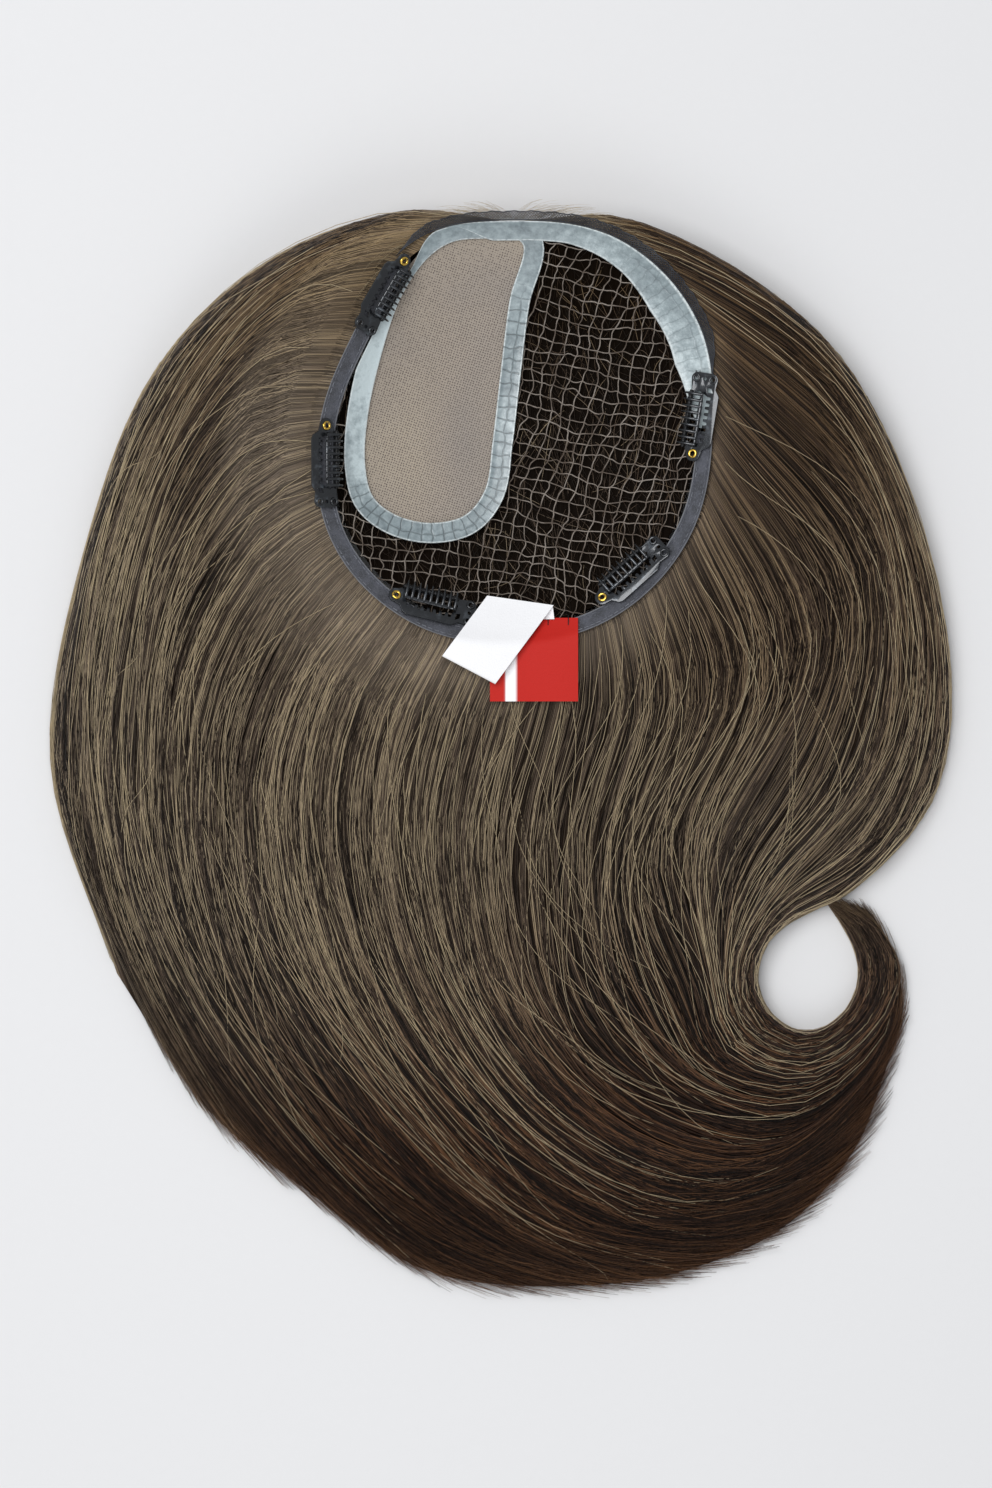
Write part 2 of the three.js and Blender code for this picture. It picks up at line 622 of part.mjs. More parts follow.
function clipPlate() {
  const half = CLIP_WIDTH / 2;
  const end = CLIP_END_WIDTH / 2;
  const tab = CLIP_TAB_WIDTH / 2;
  const rail = half * RAIL_SHARE;
  const corner = tab / 2;
  const cornerX = CLIP_LENGTH - corner;
  const tabStart = ARM_END + ARM_BLEND;
  const shape = new THREE.Shape();
  shape.absarc(EYELET_X, 0, end, Math.PI / 2, 1.5 * Math.PI, false);
  shape.quadraticCurveTo(ARM_START, -end, ARM_START + ARM_BLEND, -half);
  shape.lineTo(ARM_END, -half);
  shape.quadraticCurveTo(tabStart, -half, tabStart + 1, -tab * 0.8);
  shape.absarc(cornerX, -corner, corner, -Math.PI / 2, 0, false);
  shape.absarc(cornerX, corner, corner, 0, Math.PI / 2, false);
  shape.quadraticCurveTo(tabStart, tab * 0.8, ARM_END, rail);
  shape.lineTo(ARM_START + ARM_BLEND, rail);
  shape.closePath();
  const round = (x, y, width) => new THREE.Path().absarc(x, y, width / 2, 0, TAU, true);
  const slot = (x0, x1, y, width) => new THREE.Path()
    .absarc(x1, y, width / 2, Math.PI / 2, -Math.PI / 2, true)
    .absarc(x0, y, width / 2, -Math.PI / 2, -1.5 * Math.PI, true);
  shape.holes.push(round(EYELET_X, 0, EYELET_HOLE));
  for (const side of [-1, 0, 1]) {
    shape.holes.push(round(CLIP_LENGTH - TAB_HOLE_INSET, side * (tab - TAB_HOLE_INSET + 0.2), TAB_HOLE));
  }
  shape.holes.push(slot(ARM_START + 1.5 * ARM_BLEND, ARM_END - ARM_BLEND, -half * 0.45, ARM_SLOT_WIDTH));
  return new THREE.ExtrudeGeometry(shape, { depth: CLIP_THICKNESS, bevelEnabled: false, curveSegments: 2 });
}

// Toothed comb on its round pivot strip; the teeth rise over the soft tube
function clipComb() {
  const strip = new THREE.CylinderGeometry(PIVOT_RADIUS, PIVOT_RADIUS, ARM_LENGTH, 8);
  strip.rotateZ(Math.PI / 2).translate((ARM_START + ARM_END) / 2, 0, 0);
  let comb = toSolid(strip);
  const firstTooth = ARM_START + TOOTH_INSET + TOOTH_WIDTH / 2;
  const pitch = (ARM_LENGTH - TOOTH_WIDTH - 2 * TOOTH_INSET) / (COMB_TEETH - 1);
  for (let i = 0; i < COMB_TEETH; i += 1) {
    const tooth = new THREE.BoxGeometry(TOOTH_WIDTH, TOOTH_LENGTH, TOOTH_THICKNESS);
    tooth.translate(firstTooth + i * pitch, TOOTH_LENGTH / 2, 0);
    tooth.rotateX(TOOTH_RISE * RAD);
    comb = comb.add(toSolid(tooth));
  }
  return toGeometry(comb).translate(0, PIVOT_Y, PIVOT_Z);
}

function clipTube() {
  const y = PIVOT_Y + TOOTH_LENGTH * 0.7;
  return new THREE.CylinderGeometry(TUBE_RADIUS, TUBE_RADIUS, ARM_LENGTH, 8)
    .rotateZ(Math.PI / 2)
    .translate((ARM_START + ARM_END) / 2, y, CLIP_THICKNESS + GAP + TUBE_RADIUS);
}

// Gold eyelet: a shank through the plate under a wider head
function clipEyelet() {
  const shank = EYELET_HOLE / 2 - GAP;
  const head = EYELET_HOLE / 2 + EYELET_RIM;
  const under = CLIP_THICKNESS + GAP;
  const top = under + EYELET_HEAD;
  const profile = [[0, 0], [shank, 0], [shank, under], [head, under], [head, top], [0, top]];
  return new THREE.LatheGeometry(profile.map(([r, z]) => new THREE.Vector2(r, z)), 8)
    .rotateX(Math.PI / 2)
    .translate(EYELET_X, 0, 0);
}

// A clip's group, laid on the tape: tangent to the bowl and lifted until nothing under it touches
function clipGroup(bearing, share, turn) {
  const [x, y] = insideEdge(bearing, share);
  const step = 0.5;
  const slope = new THREE.Vector3(
    -(bowl(x + step, y) - bowl(x - step, y)) / (2 * step),
    -(bowl(x, y + step) - bowl(x, y - step)) / (2 * step),
    1,
  ).normalize();
  const heading = (bearing + 90 + turn) * RAD;
  const along = new THREE.Vector3(Math.cos(heading), Math.sin(heading), 0);
  along.addScaledVector(slope, -along.dot(slope)).normalize();
  const inward = slope.clone().cross(along);
  const frame = new THREE.Matrix4().makeBasis(along, inward, slope);
  const topOfTape = SKIN_LIFT + TAPE_THICKNESS + GAP;
  let lift = 0;
  for (const s of spaced(-CLIP_LENGTH / 2, CLIP_LENGTH / 2, 9)) {
    for (const t of spaced(-CLIP_WIDTH / 2, CLIP_WIDTH / 2, 5)) {
      const corner = new THREE.Vector3(s, t, 0).applyMatrix4(frame);
      const [px, py] = [x + corner.x, y + corner.y];
      lift = Math.max(lift, bowl(px, py) + topOfTape - bowl(x, y) - corner.z);
    }
  }
  const group = new THREE.Group();
  group.setRotationFromMatrix(frame);
  const origin = new THREE.Vector3(-CLIP_LENGTH / 2, 0, 0).applyMatrix4(frame);
  group.position.set(x + origin.x, y + origin.y, bowl(x, y) + lift + origin.z);
  return group;
}

// Sewn-in label: a strip of cloth from a place on the tape, bending down with the hair below it.
// A skew draws one side of its sewn end further back.
function label({ bearing, inset, heading, width, length, lift, skew = 0 }) {
  const [x, y] = pastEdge(bearing, -inset);
  const along = [Math.cos(heading * RAD), Math.sin(heading * RAD)];
  const grid = spaced(0, 1, 8).map((s) => spaced(-0.5, 0.5, 5).map((t) => {
    const start = -skew * (t + 0.5);
    const [ahead, aside] = [mix(start, length, s), t * width];
    return [x + along[0] * ahead - along[1] * aside, y + along[1] * ahead + along[0] * aside];
  }));
  const bottom = (px, py) => {
    const { share } = fromEdge(px, py);
    const onTape = bowl(px, py) + SKIN_LIFT + TAPE_THICKNESS;
    const onHair = hairTop(px, py) + SKIN_LIFT + TAPE_THICKNESS;
    return mix(onTape, onHair, smooth((share - 0.98) / 0.04)) + lift;
  };
  return slab(grid, bottom, (px, py) => bottom(px, py) + LABEL_THICKNESS);
}

const RED_LABEL = {
  bearing: 275.4,
  inset: RED_LABEL_INSET,
  heading: 270,
  width: RED_LABEL_WIDTH,
  length: RED_LABEL_LENGTH,
  lift: 2 * GAP,
};
const WHITE_LABEL = {
  bearing: 268,
  inset: WHITE_LABEL_INSET,
  heading: 233.5,
  width: WHITE_LABEL_WIDTH,
  length: WHITE_LABEL_LENGTH,
  lift: RED_LABEL.lift + LABEL_THICKNESS + 5 * GAP,
  skew: WHITE_LABEL_SKEW,
};

const group = new THREE.Group();
group.add(named("hair_under", hairUnder(), HAIR));
for (const [name, first, last] of SECTIONS) {
  group.add(named(name, hairSection(first, last), HAIR));
}
group.add(named("net", net(), NET));
const underBand = () => HAIR_TUCK + GAP;
const gauze = filledGrid((t) => patchOutline(t, PATCH_TUCK, underBand), 14, 6);
group.add(named("silk_patch", slab(gauze, aboveBowl(0), aboveBowl(SHEET)), SILK));
group.add(named("skin_border", skinBorder(), SKIN));
group.add(named("edge_tape", edgeTape(), TAPE));
group.add(named("lace_edge", laceEdge(), LACE));
for (const [place, bearing, share, turn] of CLIPS) {
  const clip = clipGroup(bearing, share, turn);
  clip.add(named(`clip_${place}_plate`, clipPlate(), BLACK));
  clip.add(named(`clip_${place}_comb`, clipComb(), BLACK));
  clip.add(named(`clip_${place}_tube`, clipTube(), SOFT_BLACK));
  clip.add(named(`clip_${place}_eyelet`, clipEyelet(), GOLD));
  group.add(clip);
}
group.add(named("red_label", label(RED_LABEL), RED));
group.add(named("white_label", label(WHITE_LABEL), WHITE));

// The origin stands at the middle of the box's underside
const box = new THREE.Box3().setFromObject(group);
const middle = box.getCenter(new THREE.Vector3());
group.position.set(-middle.x, -middle.y, -box.min.z);

export default group;
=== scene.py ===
"""Looks of a clip-in hair topper that lies on its back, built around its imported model.

The shapes are worked out in millimetres around the middle of the base, with +X towards the curled
lock's side, +Y to the front of the base and +Z up, and are set in place in metres by add_piece.
"""

import json
import math

import bmesh
import bpy
import numpy as np
from bpy.props import FloatProperty, FloatVectorProperty, IntProperty, PointerProperty
from bpy.types import Operator, Panel, PropertyGroup
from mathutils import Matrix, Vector


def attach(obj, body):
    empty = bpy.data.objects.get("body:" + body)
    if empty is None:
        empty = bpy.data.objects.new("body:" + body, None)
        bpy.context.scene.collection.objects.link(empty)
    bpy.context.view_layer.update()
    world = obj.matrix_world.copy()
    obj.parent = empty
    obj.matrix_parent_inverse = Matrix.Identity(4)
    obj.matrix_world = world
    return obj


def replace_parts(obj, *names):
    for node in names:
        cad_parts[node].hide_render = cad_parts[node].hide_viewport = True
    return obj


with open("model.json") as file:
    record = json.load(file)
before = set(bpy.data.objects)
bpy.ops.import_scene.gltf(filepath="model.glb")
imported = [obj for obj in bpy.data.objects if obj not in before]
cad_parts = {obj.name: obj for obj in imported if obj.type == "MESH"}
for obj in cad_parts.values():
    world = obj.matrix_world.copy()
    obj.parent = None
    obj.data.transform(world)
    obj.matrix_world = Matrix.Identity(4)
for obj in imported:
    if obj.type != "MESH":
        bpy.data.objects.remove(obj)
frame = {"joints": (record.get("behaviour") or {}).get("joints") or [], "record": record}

bl_info = {
    "name": "Hair Topper",
    "version": (1, 0, 0),
    "blender": (4, 5, 0),
    "location": "View3D > Sidebar > Topper",
    "description": "Builds the hair, net, patch, trims, clips and labels of a clip-in hair topper",
    "category": "Add Mesh",
}

MM = 0.001

# Base, as the model has it
HALF_WIDTH = 69.6
HALF_LENGTH = 72.7
BOWL_DEPTH = 17
BOWL_LEAN = 3
BOWL_ROUNDNESS = 2.6
UNDER_THICKNESS = 13
SHEET = 1
LAYER_GAP = 0.95
GAP = 0.3
TAPE_WIDTH = 5.5
TAPE_THICKNESS = 1.2
LACE_WIDTH = 3
NET_TUCK = 1.5
UNDER_SHARE = 0.91
TRIM_LIFT = SHEET + LAYER_GAP
UNDERSIDE = 0.12

# The edge's distance from the base's middle, as a share of the average, every 30 degrees from +X
EDGE_SHARES = np.array([0.975, 1.037, 1.04, 0.995, 1.03, 0.935, 0.985, 1.065, 1.06, 1.02, 1.015, 1])

# Patch with its border, and the front band
PATCH_WIDTH = 55.3
PATCH_LENGTH = 98.5
PATCH_RIGHT = -25.2
PATCH_FORWARD = 17.2
PATCH_TUCK = 3
BORDER_WIDTH = 7
BAND_START, BAND_END = 96, 0.5
TAPE_START, TAPE_END = 128, 359.5
LACE_START, LACE_END = 126, 14
PATCH_OUTLINE = np.array([
    [0.223, 0.5], [0.49, 0.485], [0.412, 0.288], [0.349, 0.005], [0.305, -0.207], [0.255, -0.383],
    [0.129, -0.472], [-0.091, -0.5], [-0.311, -0.472], [-0.45, -0.409], [-0.5, -0.3],
    [-0.487, -0.136], [-0.406, 0.076], [-0.28, 0.288], [-0.123, 0.422], [0.035, 0.485],
])
BAND_WIDTHS = np.array([[0, 5], [8, 8.5], [20, 12], [40, 12], [55, 9], [75, 6.6], [96, 6.6]])

# Hair
HAIR_SPREAD = 228
HAIR_TUCK = 3.6
HAIR_THICKNESS = 9
TIP_THICKNESS = 3.4
FALL_WIDTH = 96
LOCK_RELIEF = 2.2
LOCKS = 4
CURL_HOLE = 35.5

# Strands that guide the hair: bearing of the root, the places passed as (bearing, distance past
# the edge as a share of HAIR_SPREAD), and for those that curl (share of length at which they
# enter the curl, place between its inside and outside, turns)
GUIDES = [
    (93, [(118.9, 0.055), (147, 0.176), (171.5, 0.272), (197, 0.385), (215.5, 0.549), (233, 0.698)], None),
    (120, [(139, 0.084), (164, 0.175), (190, 0.283), (211.6, 0.443), (230, 0.626), (245, 0.807)], None),
    (167, [(172, 0.098), (189.6, 0.216), (210, 0.36), (226.4, 0.542), (240.6, 0.694), (254, 0.874)], None),
    (201, [(203.6, 0.098), (214.8, 0.272), (226.6, 0.434), (240.8, 0.622), (254, 0.801), (264, 0.968)],
     None),
    (225, [(227.5, 0.164), (235, 0.347), (246, 0.531), (258.4, 0.72), (267.3, 0.872), (275, 0.99)], None),
    (237, [(236.6, 0.153), (243, 0.338), (253.2, 0.535), (264.4, 0.729), (273, 0.884), (282.4, 0.987)],
     None),
    (248, [(246.3, 0.154), (251, 0.343), (260.2, 0.552), (270.2, 0.749), (279.7, 0.894), (289, 0.963)],
     None),
    (261, [(256.4, 0.131), (257.7, 0.324), (265, 0.557), (274.4, 0.753), (284, 0.878), (295.3, 0.898)],
     None),
    (274, [(267.6, 0.123), (264.8, 0.315), (269.8, 0.566), (278.5, 0.755), (288.5, 0.859), (299.6, 0.824)],
     None),
    (298, [(292.5, 0.12), (280, 0.325), (279.4, 0.533), (284.5, 0.699), (292.4, 0.805), (300, 0.787),
           (304.7, 0.733)], None),
    (324, [(310.7, 0.179), (290.2, 0.357)], (0.53, 0.56, 6)),
    (355, [(325.4, 0.241), (295.2, 0.4)], (0.57, 0.4, 7)),
    (382, [(343.4, 0.269), (316, 0.424), (298.7, 0.478)], (0.61, 0.25, 7)),
    (414, [(5.3, 0.199), (332.6, 0.409), (312.6, 0.511), (299.2, 0.513)], (0.65, 0.12, 7)),
    (448, [(61, 0.038), (14.7, 0.196), (337.7, 0.405), (320, 0.534), (306, 0.553), (298.6, 0.535)],
     (0.64, 0, 7)),
]
CURL_MIDDLE = (298.6, 0.617)
CURL_TURNS = [
    (180, 1, 2.94), (225, 1.1, 3.1), (270, 1.24, 2.75), (315, 1.12, 2.35),
    (0, 1.06, 2.5), (42, 1.1, 2.2), (66, 1.29, 1.69),
]

# Hair sections of the model: first and last guide, strands and segments in each
SECTIONS = {
    "front_left": (0, 2, 1130, 15),
    "left": (2, 4, 1130, 15),
    "back_left": (4, 6, 950, 14),
    "back": (6, 8, 950, 15),
    "back_right": (8, 11, 930, 25),
    "front_right": (11, 14, 900, 28),
}
FIRST_CURLED = 10

# How many guides a strand drifts on towards its tip, by the guide it starts at, so that it ends
# alongside the outline of the fan
DRIFT = np.array([[0, 0.45], [2, 0.8], [6, 0.85], [8, 0.8], [9.2, 0.86], [10, 0.5], [11, 0], [14, 0]])

# Share of its length past which a strand settles along the outline, and its pace outwards at its tip
SETTLE = 0.58
SETTLED_PACE = 0.1

# Share of the strands that keep out of their clump
STRAY_SHARE = 0.07

# Where a strand's points lie, as shares of their number and of its length: close together at the
# root, which bends over the rim, and in the curl
POINT_SPREAD = np.array([[0, 0], [0.15, 0.045], [0.42, 0.24], [1, 1]])
CURL_SPREAD = np.array([[0, 0], [0.1, 0.04], [0.22, 0.14], [0.5, 0.5], [1, 1]])

# Snap clips
CLIP_PLACES = ["front_left", "left", "back_left", "back_right", "right"]
CLIP_LENGTH = 31
CLIP_WIDTH = 12.4
CLIP_THICKNESS = 0.8
CLIP_END_WIDTH = 5.4
CLIP_TAB_WIDTH = 10
ARM_START = CLIP_LENGTH * 0.16
ARM_END = CLIP_LENGTH * 0.78
PIVOT_X = CLIP_LENGTH * 0.47
PIVOT_Y = -0.4
PIVOT_Z = 1.85
COMB_TEETH = 9
EYELET_INSET = 2.1
TAB_HOLE = 0.62
GRIP_Y = PIVOT_Y + 4.4
GRIP_Z = 1.15

# Labels: bearing, distance inside the edge, heading, width, length, lift above the tape, and how
# far one side of the sewn end and of the free end is drawn back
RED_LABEL = (275.4, 8.5, 270, 30.5, 29, 2 * GAP, 0, 0)
WHITE_LABEL = (268, 10.7, 233.5, 20.5, 25.5, 2 * GAP + SHEET + 5 * GAP, 11, 3.4)


def mix(a, b, f):
    """The value a share f of the way from a to b."""
    return a + (b - a) * f


def smooth(x):
    """Smooth step from 0 to 1: three x squared less two x cubed, with x held to 0 to 1."""
    x = np.clip(x, 0, 1)
    return x * x * (3 - 2 * x)


def colour(code):
    """Linear red, green, blue and alpha of a colour written as 0xRRGGBB."""
    parts = np.array([code >> 16 & 255, code >> 8 & 255, code & 255]) / 255
    linear = np.where(parts <= 0.04045, parts / 12.92, ((parts + 0.055) / 1.055) ** 2.4)
    return (*map(float, linear), 1.0)


def hermite(f, low, high, slope_low, slope_high):
    """Cubic from low to high over f from 0 to 1, with a given slope at each end."""
    rest = 3 * (high - low) - 2 * slope_low - slope_high + f * (2 * (low - high) + slope_low + slope_high)
    return low + f * (slope_low + f * rest)


def edge_share(bearing):
    """The edge's share at a bearing: a closed cubic through EDGE_SHARES, whose slope at each is
    half the difference of its neighbours."""
    count = len(EDGE_SHARES)
    t = (np.asarray(bearing, float) % 360) / 360 * count
    i = np.floor(t).astype(int)
    f = t - i
    a, b, c, d = (EDGE_SHARES[(i + k) % count] for k in (-1, 0, 1, 2))
    return b + 0.5 * f * (c - a + f * (2 * a - 5 * b + 4 * c - d + f * (3 * (b - c) + d - a)))


def past_edge(bearing, distance):
    """Plan point at a bearing: the ellipse of the base times the edge's share, plus a distance."""
    share, turn = edge_share(bearing), np.radians(bearing)
    x = (HALF_WIDTH * share + distance) * np.cos(turn)
    y = (HALF_LENGTH * share + distance) * np.sin(turn)
    return np.stack([x, y], -1)


def from_edge(point):
    """Bearing of a plan point, and its distance from the middle as a share of the edge's."""
    across, along = point[..., 0] / HALF_WIDTH, point[..., 1] / HALF_LENGTH
    bearing = np.degrees(np.arctan2(along, across))
    return bearing, np.hypot(across, along) / edge_share(bearing)


def bowl(point):
    """Height of the bowl: the thickness below it plus its depth times a power of the share, where
    depth and power fall towards +X; past the edge it stays level."""
    bearing, share = from_edge(point)
    side = np.cos(np.radians(bearing))
    power = BOWL_ROUNDNESS - 0.1 * BOWL_LEAN * side
    return UNDER_THICKNESS + (BOWL_DEPTH - BOWL_LEAN * side) * np.minimum(share, 1) ** power


def hair_top(point):
    """Upper face of the hair: level past the edge, then a half cosine wave down to the table."""
    bearing, _ = from_edge(point)
    crest = bowl(point) + SHEET - GAP
    past = np.linalg.norm(point, axis=-1) - np.linalg.norm(past_edge(bearing, 0), axis=-1)
    fall = np.clip(past / FALL_WIDTH - 0.05, 0, 1)
    return mix(HAIR_THICKNESS, crest, 0.5 + 0.5 * np.cos(np.pi * fall))


def smooth_path(places, steps):
    """Points on the centripetal Catmull-Rom curve through places, steps to each stretch. Each
    stretch is a cubic whose end slopes weigh the neighbouring chords by the root of their length."""
    led = np.vstack([2 * places[0] - places[1], places, 2 * places[-1] - places[-2]])
    f = np.linspace(0, 1, steps, endpoint=False)[:, None]
    stretches = []
    for a, b, c, d in zip(led, led[1:], led[2:], led[3:]):
        s, t, u = (np.linalg.norm(q - p) ** 0.5 for p, q in ((a, b), (b, c), (c, d)))
        start = ((b - a) / s - (c - a) / (s + t) + (c - b) / t) * t
        end = ((c - b) / t - (d - b) / (t + u) + (d - c) / u) * t
        square = -3 * b + 3 * c - 2 * start - end
        cube = 2 * b - 2 * c + start + end
        stretches.append(b + start * f + square * f * f + cube * f**3)
    return np.vstack([*stretches, places[-1:]])


def aside(way):
    """Plan directions turned a quarter to the left."""
    return np.stack([-way[..., 1], way[..., 0]], -1)


def unit(ways):
    """Directions brought to a length of 1."""
    return ways / np.linalg.norm(ways, axis=-1, keepdims=True)


def along_path(path, at):
    """Points at given distances along a path of straight steps."""
    run = path_run(path)
    return np.stack([np.interp(at, run, path[:, k]) for k in range(path.shape[1])], -1)


def path_run(path):
    """Distance from a path's start to each of its points."""
    return np.concatenate([[0], np.cumsum(np.linalg.norm(np.diff(path, axis=0), axis=1))])


PATH_STEPS = 60
GUIDE_SAMPLES = 241


def guide_path(root, way, curl):
    """One guide, sampled evenly by its share v of length. A guide that curls goes on round the
    curl's middle, and enters the curl at its own share, where its pace is the harmonic mean of the
    two stretches' paces."""
    places = [past_edge(bearing, share * HAIR_SPREAD) for bearing, share in [(root, 0), *way]]
    if curl:
        middle = past_edge(CURL_MIDDLE[0], CURL_MIDDLE[1] * HAIR_SPREAD)
        for bearing, inner, outer in CURL_TURNS[: curl[2]]:
            turn = math.radians(bearing)
            radius = mix(inner, outer, curl[1]) * CURL_HOLE / 2
            places.append(middle + radius * np.array([math.cos(turn), math.sin(turn)]))
    path = smooth_path(np.array(places), PATH_STEPS)
    run = path_run(path)
    v = np.linspace(0, 1, GUIDE_SAMPLES)
    at = v * run[-1]
    if curl:
        entry, entry_run = curl[0], run[PATH_STEPS * (len(way) + 1)]
        rest, rest_run = 1 - entry, run[-1] - entry_run
        pace = 2 * entry_run * rest_run / (entry_run * rest + rest_run * entry)
        before = hermite(v / entry, 0, entry_run, entry_run, pace * entry)
        after = hermite((v - entry) / rest, entry_run, run[-1], pace * rest, rest_run)
        at = np.where(v < entry, before, after)
    return along_path(path, at)


GUIDE_PATHS = np.array([guide_path(*row) for row in GUIDES])
GUIDE_ROOTS = np.array([root for root, _, _ in GUIDES], float)
SPANS = np.diff(GUIDE_PATHS, axis=0)
SPAN_LENGTHS = np.linalg.norm(SPANS, axis=-1, keepdims=True) + 1e-6
GUIDE_SLOPES = np.concatenate([
    SPANS[:1],
    (SPAN_LENGTHS[1:] * SPANS[:-1] + SPAN_LENGTHS[:-1] * SPANS[1:]) / (SPAN_LENGTHS[1:] + SPAN_LENGTHS[:-1]),
    SPANS[-1:],
])
SECTION_ENDS = np.concatenate([[ends[:2]] * (ends[1] - ends[0]) for ends in SECTIONS.values()])


def across_guides(i, k, f):
    """Point a share f of the way from guide i to the next, at sample k of both: a cubic whose slope
    at a guide is the mean of the spans on its two sides, each weighed by the other's length."""
    return hermite(f, GUIDE_PATHS[i, k], GUIDE_PATHS[i + 1, k], GUIDE_SLOPES[i, k], GUIDE_SLOPES[i + 1, k])


def hair_point(u, v):
    """Plan point of the hair between the guides (u, in guides) and along them (v, 0 to 1): a cubic
    across the guides, whose root is drawn out to the edge of the base. Below 0 the strand runs in
    under the edge, and past 1 it goes straight on."""
    i = np.clip(np.floor(u).astype(int), 0, len(GUIDES) - 2)
    f = u - i
    s = np.clip(v, 0, 1) * (GUIDE_SAMPLES - 1)
    k = np.minimum(s.astype(int), GUIDE_SAMPLES - 2)
    g = (s - k)[..., None]
    point = mix(*(across_guides(i, sample, f[..., None]) for sample in (k, k + 1)), g)
    root = past_edge(mix(GUIDE_ROOTS[i], GUIDE_ROOTS[i + 1], f), 0)
    chord = across_guides(i, 0, f[..., None])
    point = point + (root - chord) * smooth(1 - v / 0.15)[..., None]
    tail = 4 / (GUIDE_SAMPLES - 1)
    slopes = (GUIDE_PATHS[:, -1] - GUIDE_PATHS[:, -5]) / tail
    point = point + mix(slopes[i], slopes[i + 1], f[..., None]) * np.maximum(v - 1, 0)[..., None]
    return point * (1 + np.minimum(v, 0) * HAIR_TUCK)[..., None]


def fan_top(u, v, point):
    """Upper face of the fanned hair: the hair's top with one rounded ridge to each lock of a section,
    thinned towards the tips, and rounded down along the fan's two outlines."""
    i = np.clip(np.floor(u).astype(int), 0, len(GUIDES) - 2)
    first, last = SECTION_ENDS[i, 0], SECTION_ENDS[i, 1]
    rise = smooth(v / 0.35)
    ridge = np.abs(np.sin(np.pi * LOCKS * (u - first) / (last - first))) * LOCK_RELIEF * rise
    full = hair_top(point) - 0.5 * LOCK_RELIEF * rise + ridge
    full = mix(full, TIP_THICKNESS + 0.3 * ridge, smooth((v - 0.72) / 0.28))
    beyond = np.clip(np.minimum(u, len(GUIDES) - 1 - u) / 0.45, 0, 1)
    low = mix(full, TIP_THICKNESS * 0.5, smooth((v - 0.02) / 0.2))
    return mix(low, full, np.sqrt(1 - (1 - beyond) ** 2))


def value_noise(rng, x, knots, smoothness=smooth):
    """Smooth random curve over x from 0 to 1: random values at the knots, joined by smooth steps."""
    values = rng.random(knots + 2) * 2 - 1
    t = np.clip(x, 0, 1) * knots
    i = t.astype(int)
    return mix(values[i], values[i + 1], smoothness(t - i))


# Meshes

BASE_MIDDLE = next(np.array(m["pos_m"]) for m in frame["record"]["mounts"] if m["name"] == "underside")


def add_piece(name, points, faces, material, body="root", values=None, uv=None,
              uv_name="Surface", sharp=None):
    """A mesh object from points in millimetres around the base's middle, faces as index arrays,
    one float value for each point under each name in values, and a map coordinate for each."""
    corners = np.concatenate([f.ravel() for f in faces]).astype(np.int32)
    sizes = np.concatenate([np.full(len(f), f.shape[1]) for f in faces])
    starts = np.concatenate([[0], np.cumsum(sizes)[:-1]]).astype(np.int32)
    mesh = bpy.data.meshes.new(name)
    mesh.vertices.add(len(points))
    mesh.vertices.foreach_set("co", (points * MM + BASE_MIDDLE).astype(np.float32).ravel())
    mesh.loops.add(len(corners))
    mesh.loops.foreach_set("vertex_index", corners)
    mesh.polygons.add(len(sizes))
    mesh.polygons.foreach_set("loop_start", starts)
    mesh.polygons.foreach_set("use_smooth", np.ones(len(sizes), bool))
    for key, value in (values or {}).items():
        attribute = mesh.attributes.new(key, "FLOAT", "POINT")
        attribute.data.foreach_set("value", value.astype(np.float32).ravel())
    if uv is not None:
        layer = mesh.uv_layers.new(name=uv_name)
        layer.data.foreach_set("uv", uv.reshape(-1, 2)[corners].astype(np.float32).ravel())
    mesh.update(calc_edges=True)
    mesh.validate()
    if sharp:
        mesh.set_sharp_from_angle(angle=math.radians(sharp))
    mesh.materials.append(material)
    piece = bpy.data.objects.new(name, mesh)
    bpy.context.scene.collection.objects.link(piece)
    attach(piece, body)
    return piece


def grid_quads(rows, columns, wrap_rows=False, wrap_columns=False):
    """Index arrays of the quads over a grid of rows times columns points, row after row."""
    i = np.arange(rows if wrap_rows else rows - 1)
    j = np.arange(columns if wrap_columns else columns - 1)
    i, j = (a.ravel() for a in np.meshgrid(i, j, indexing="ij"))
    i2, j2 = (i + 1) % rows, (j + 1) % columns
    return np.stack([i * columns + j, i2 * columns + j, i2 * columns + j2, i * columns + j2], -1)


def slab(top, bottom):
    """Closed solid between two grids of points: the top, the bottom turned over, and side walls."""
    rows, columns = top.shape[:2]
    quads = grid_quads(rows, columns)
    layer = rows * columns
    rim = np.concatenate([
        np.arange(columns), np.arange(1, rows) * columns + columns - 1,
        layer - 2 - np.arange(columns - 1), np.arange(rows - 2, 0, -1) * columns,
    ])
    after = np.roll(rim, -1)
    walls = np.stack([rim, rim + layer, after + layer, after], -1)
    points = np.concatenate([top.reshape(-1, 3), bottom.reshape(-1, 3)])
    faces = np.concatenate([quads, quads[:, ::-1] + layer, walls[:, ::-1]])
    return points, [outward(points, faces)]


def both_faces(values):
    """Values of a slab's upper face, given again for its lower."""
    flat = values.reshape(-1, *values.shape[2:])
    return np.concatenate([flat, flat])


def outward(points, faces):
    """The faces of a closed body, turned over where its signed volume comes out negative."""
    fan = [faces[:, [0, k, k + 1]] for k in range(1, faces.shape[1] - 1)]
    a, b, c = (points[np.concatenate(fan)[:, k]] for k in range(3))
    volume = np.einsum("ij,ij->i", a, np.cross(b, c)).sum()
    return faces if volume > 0 else faces[:, ::-1]


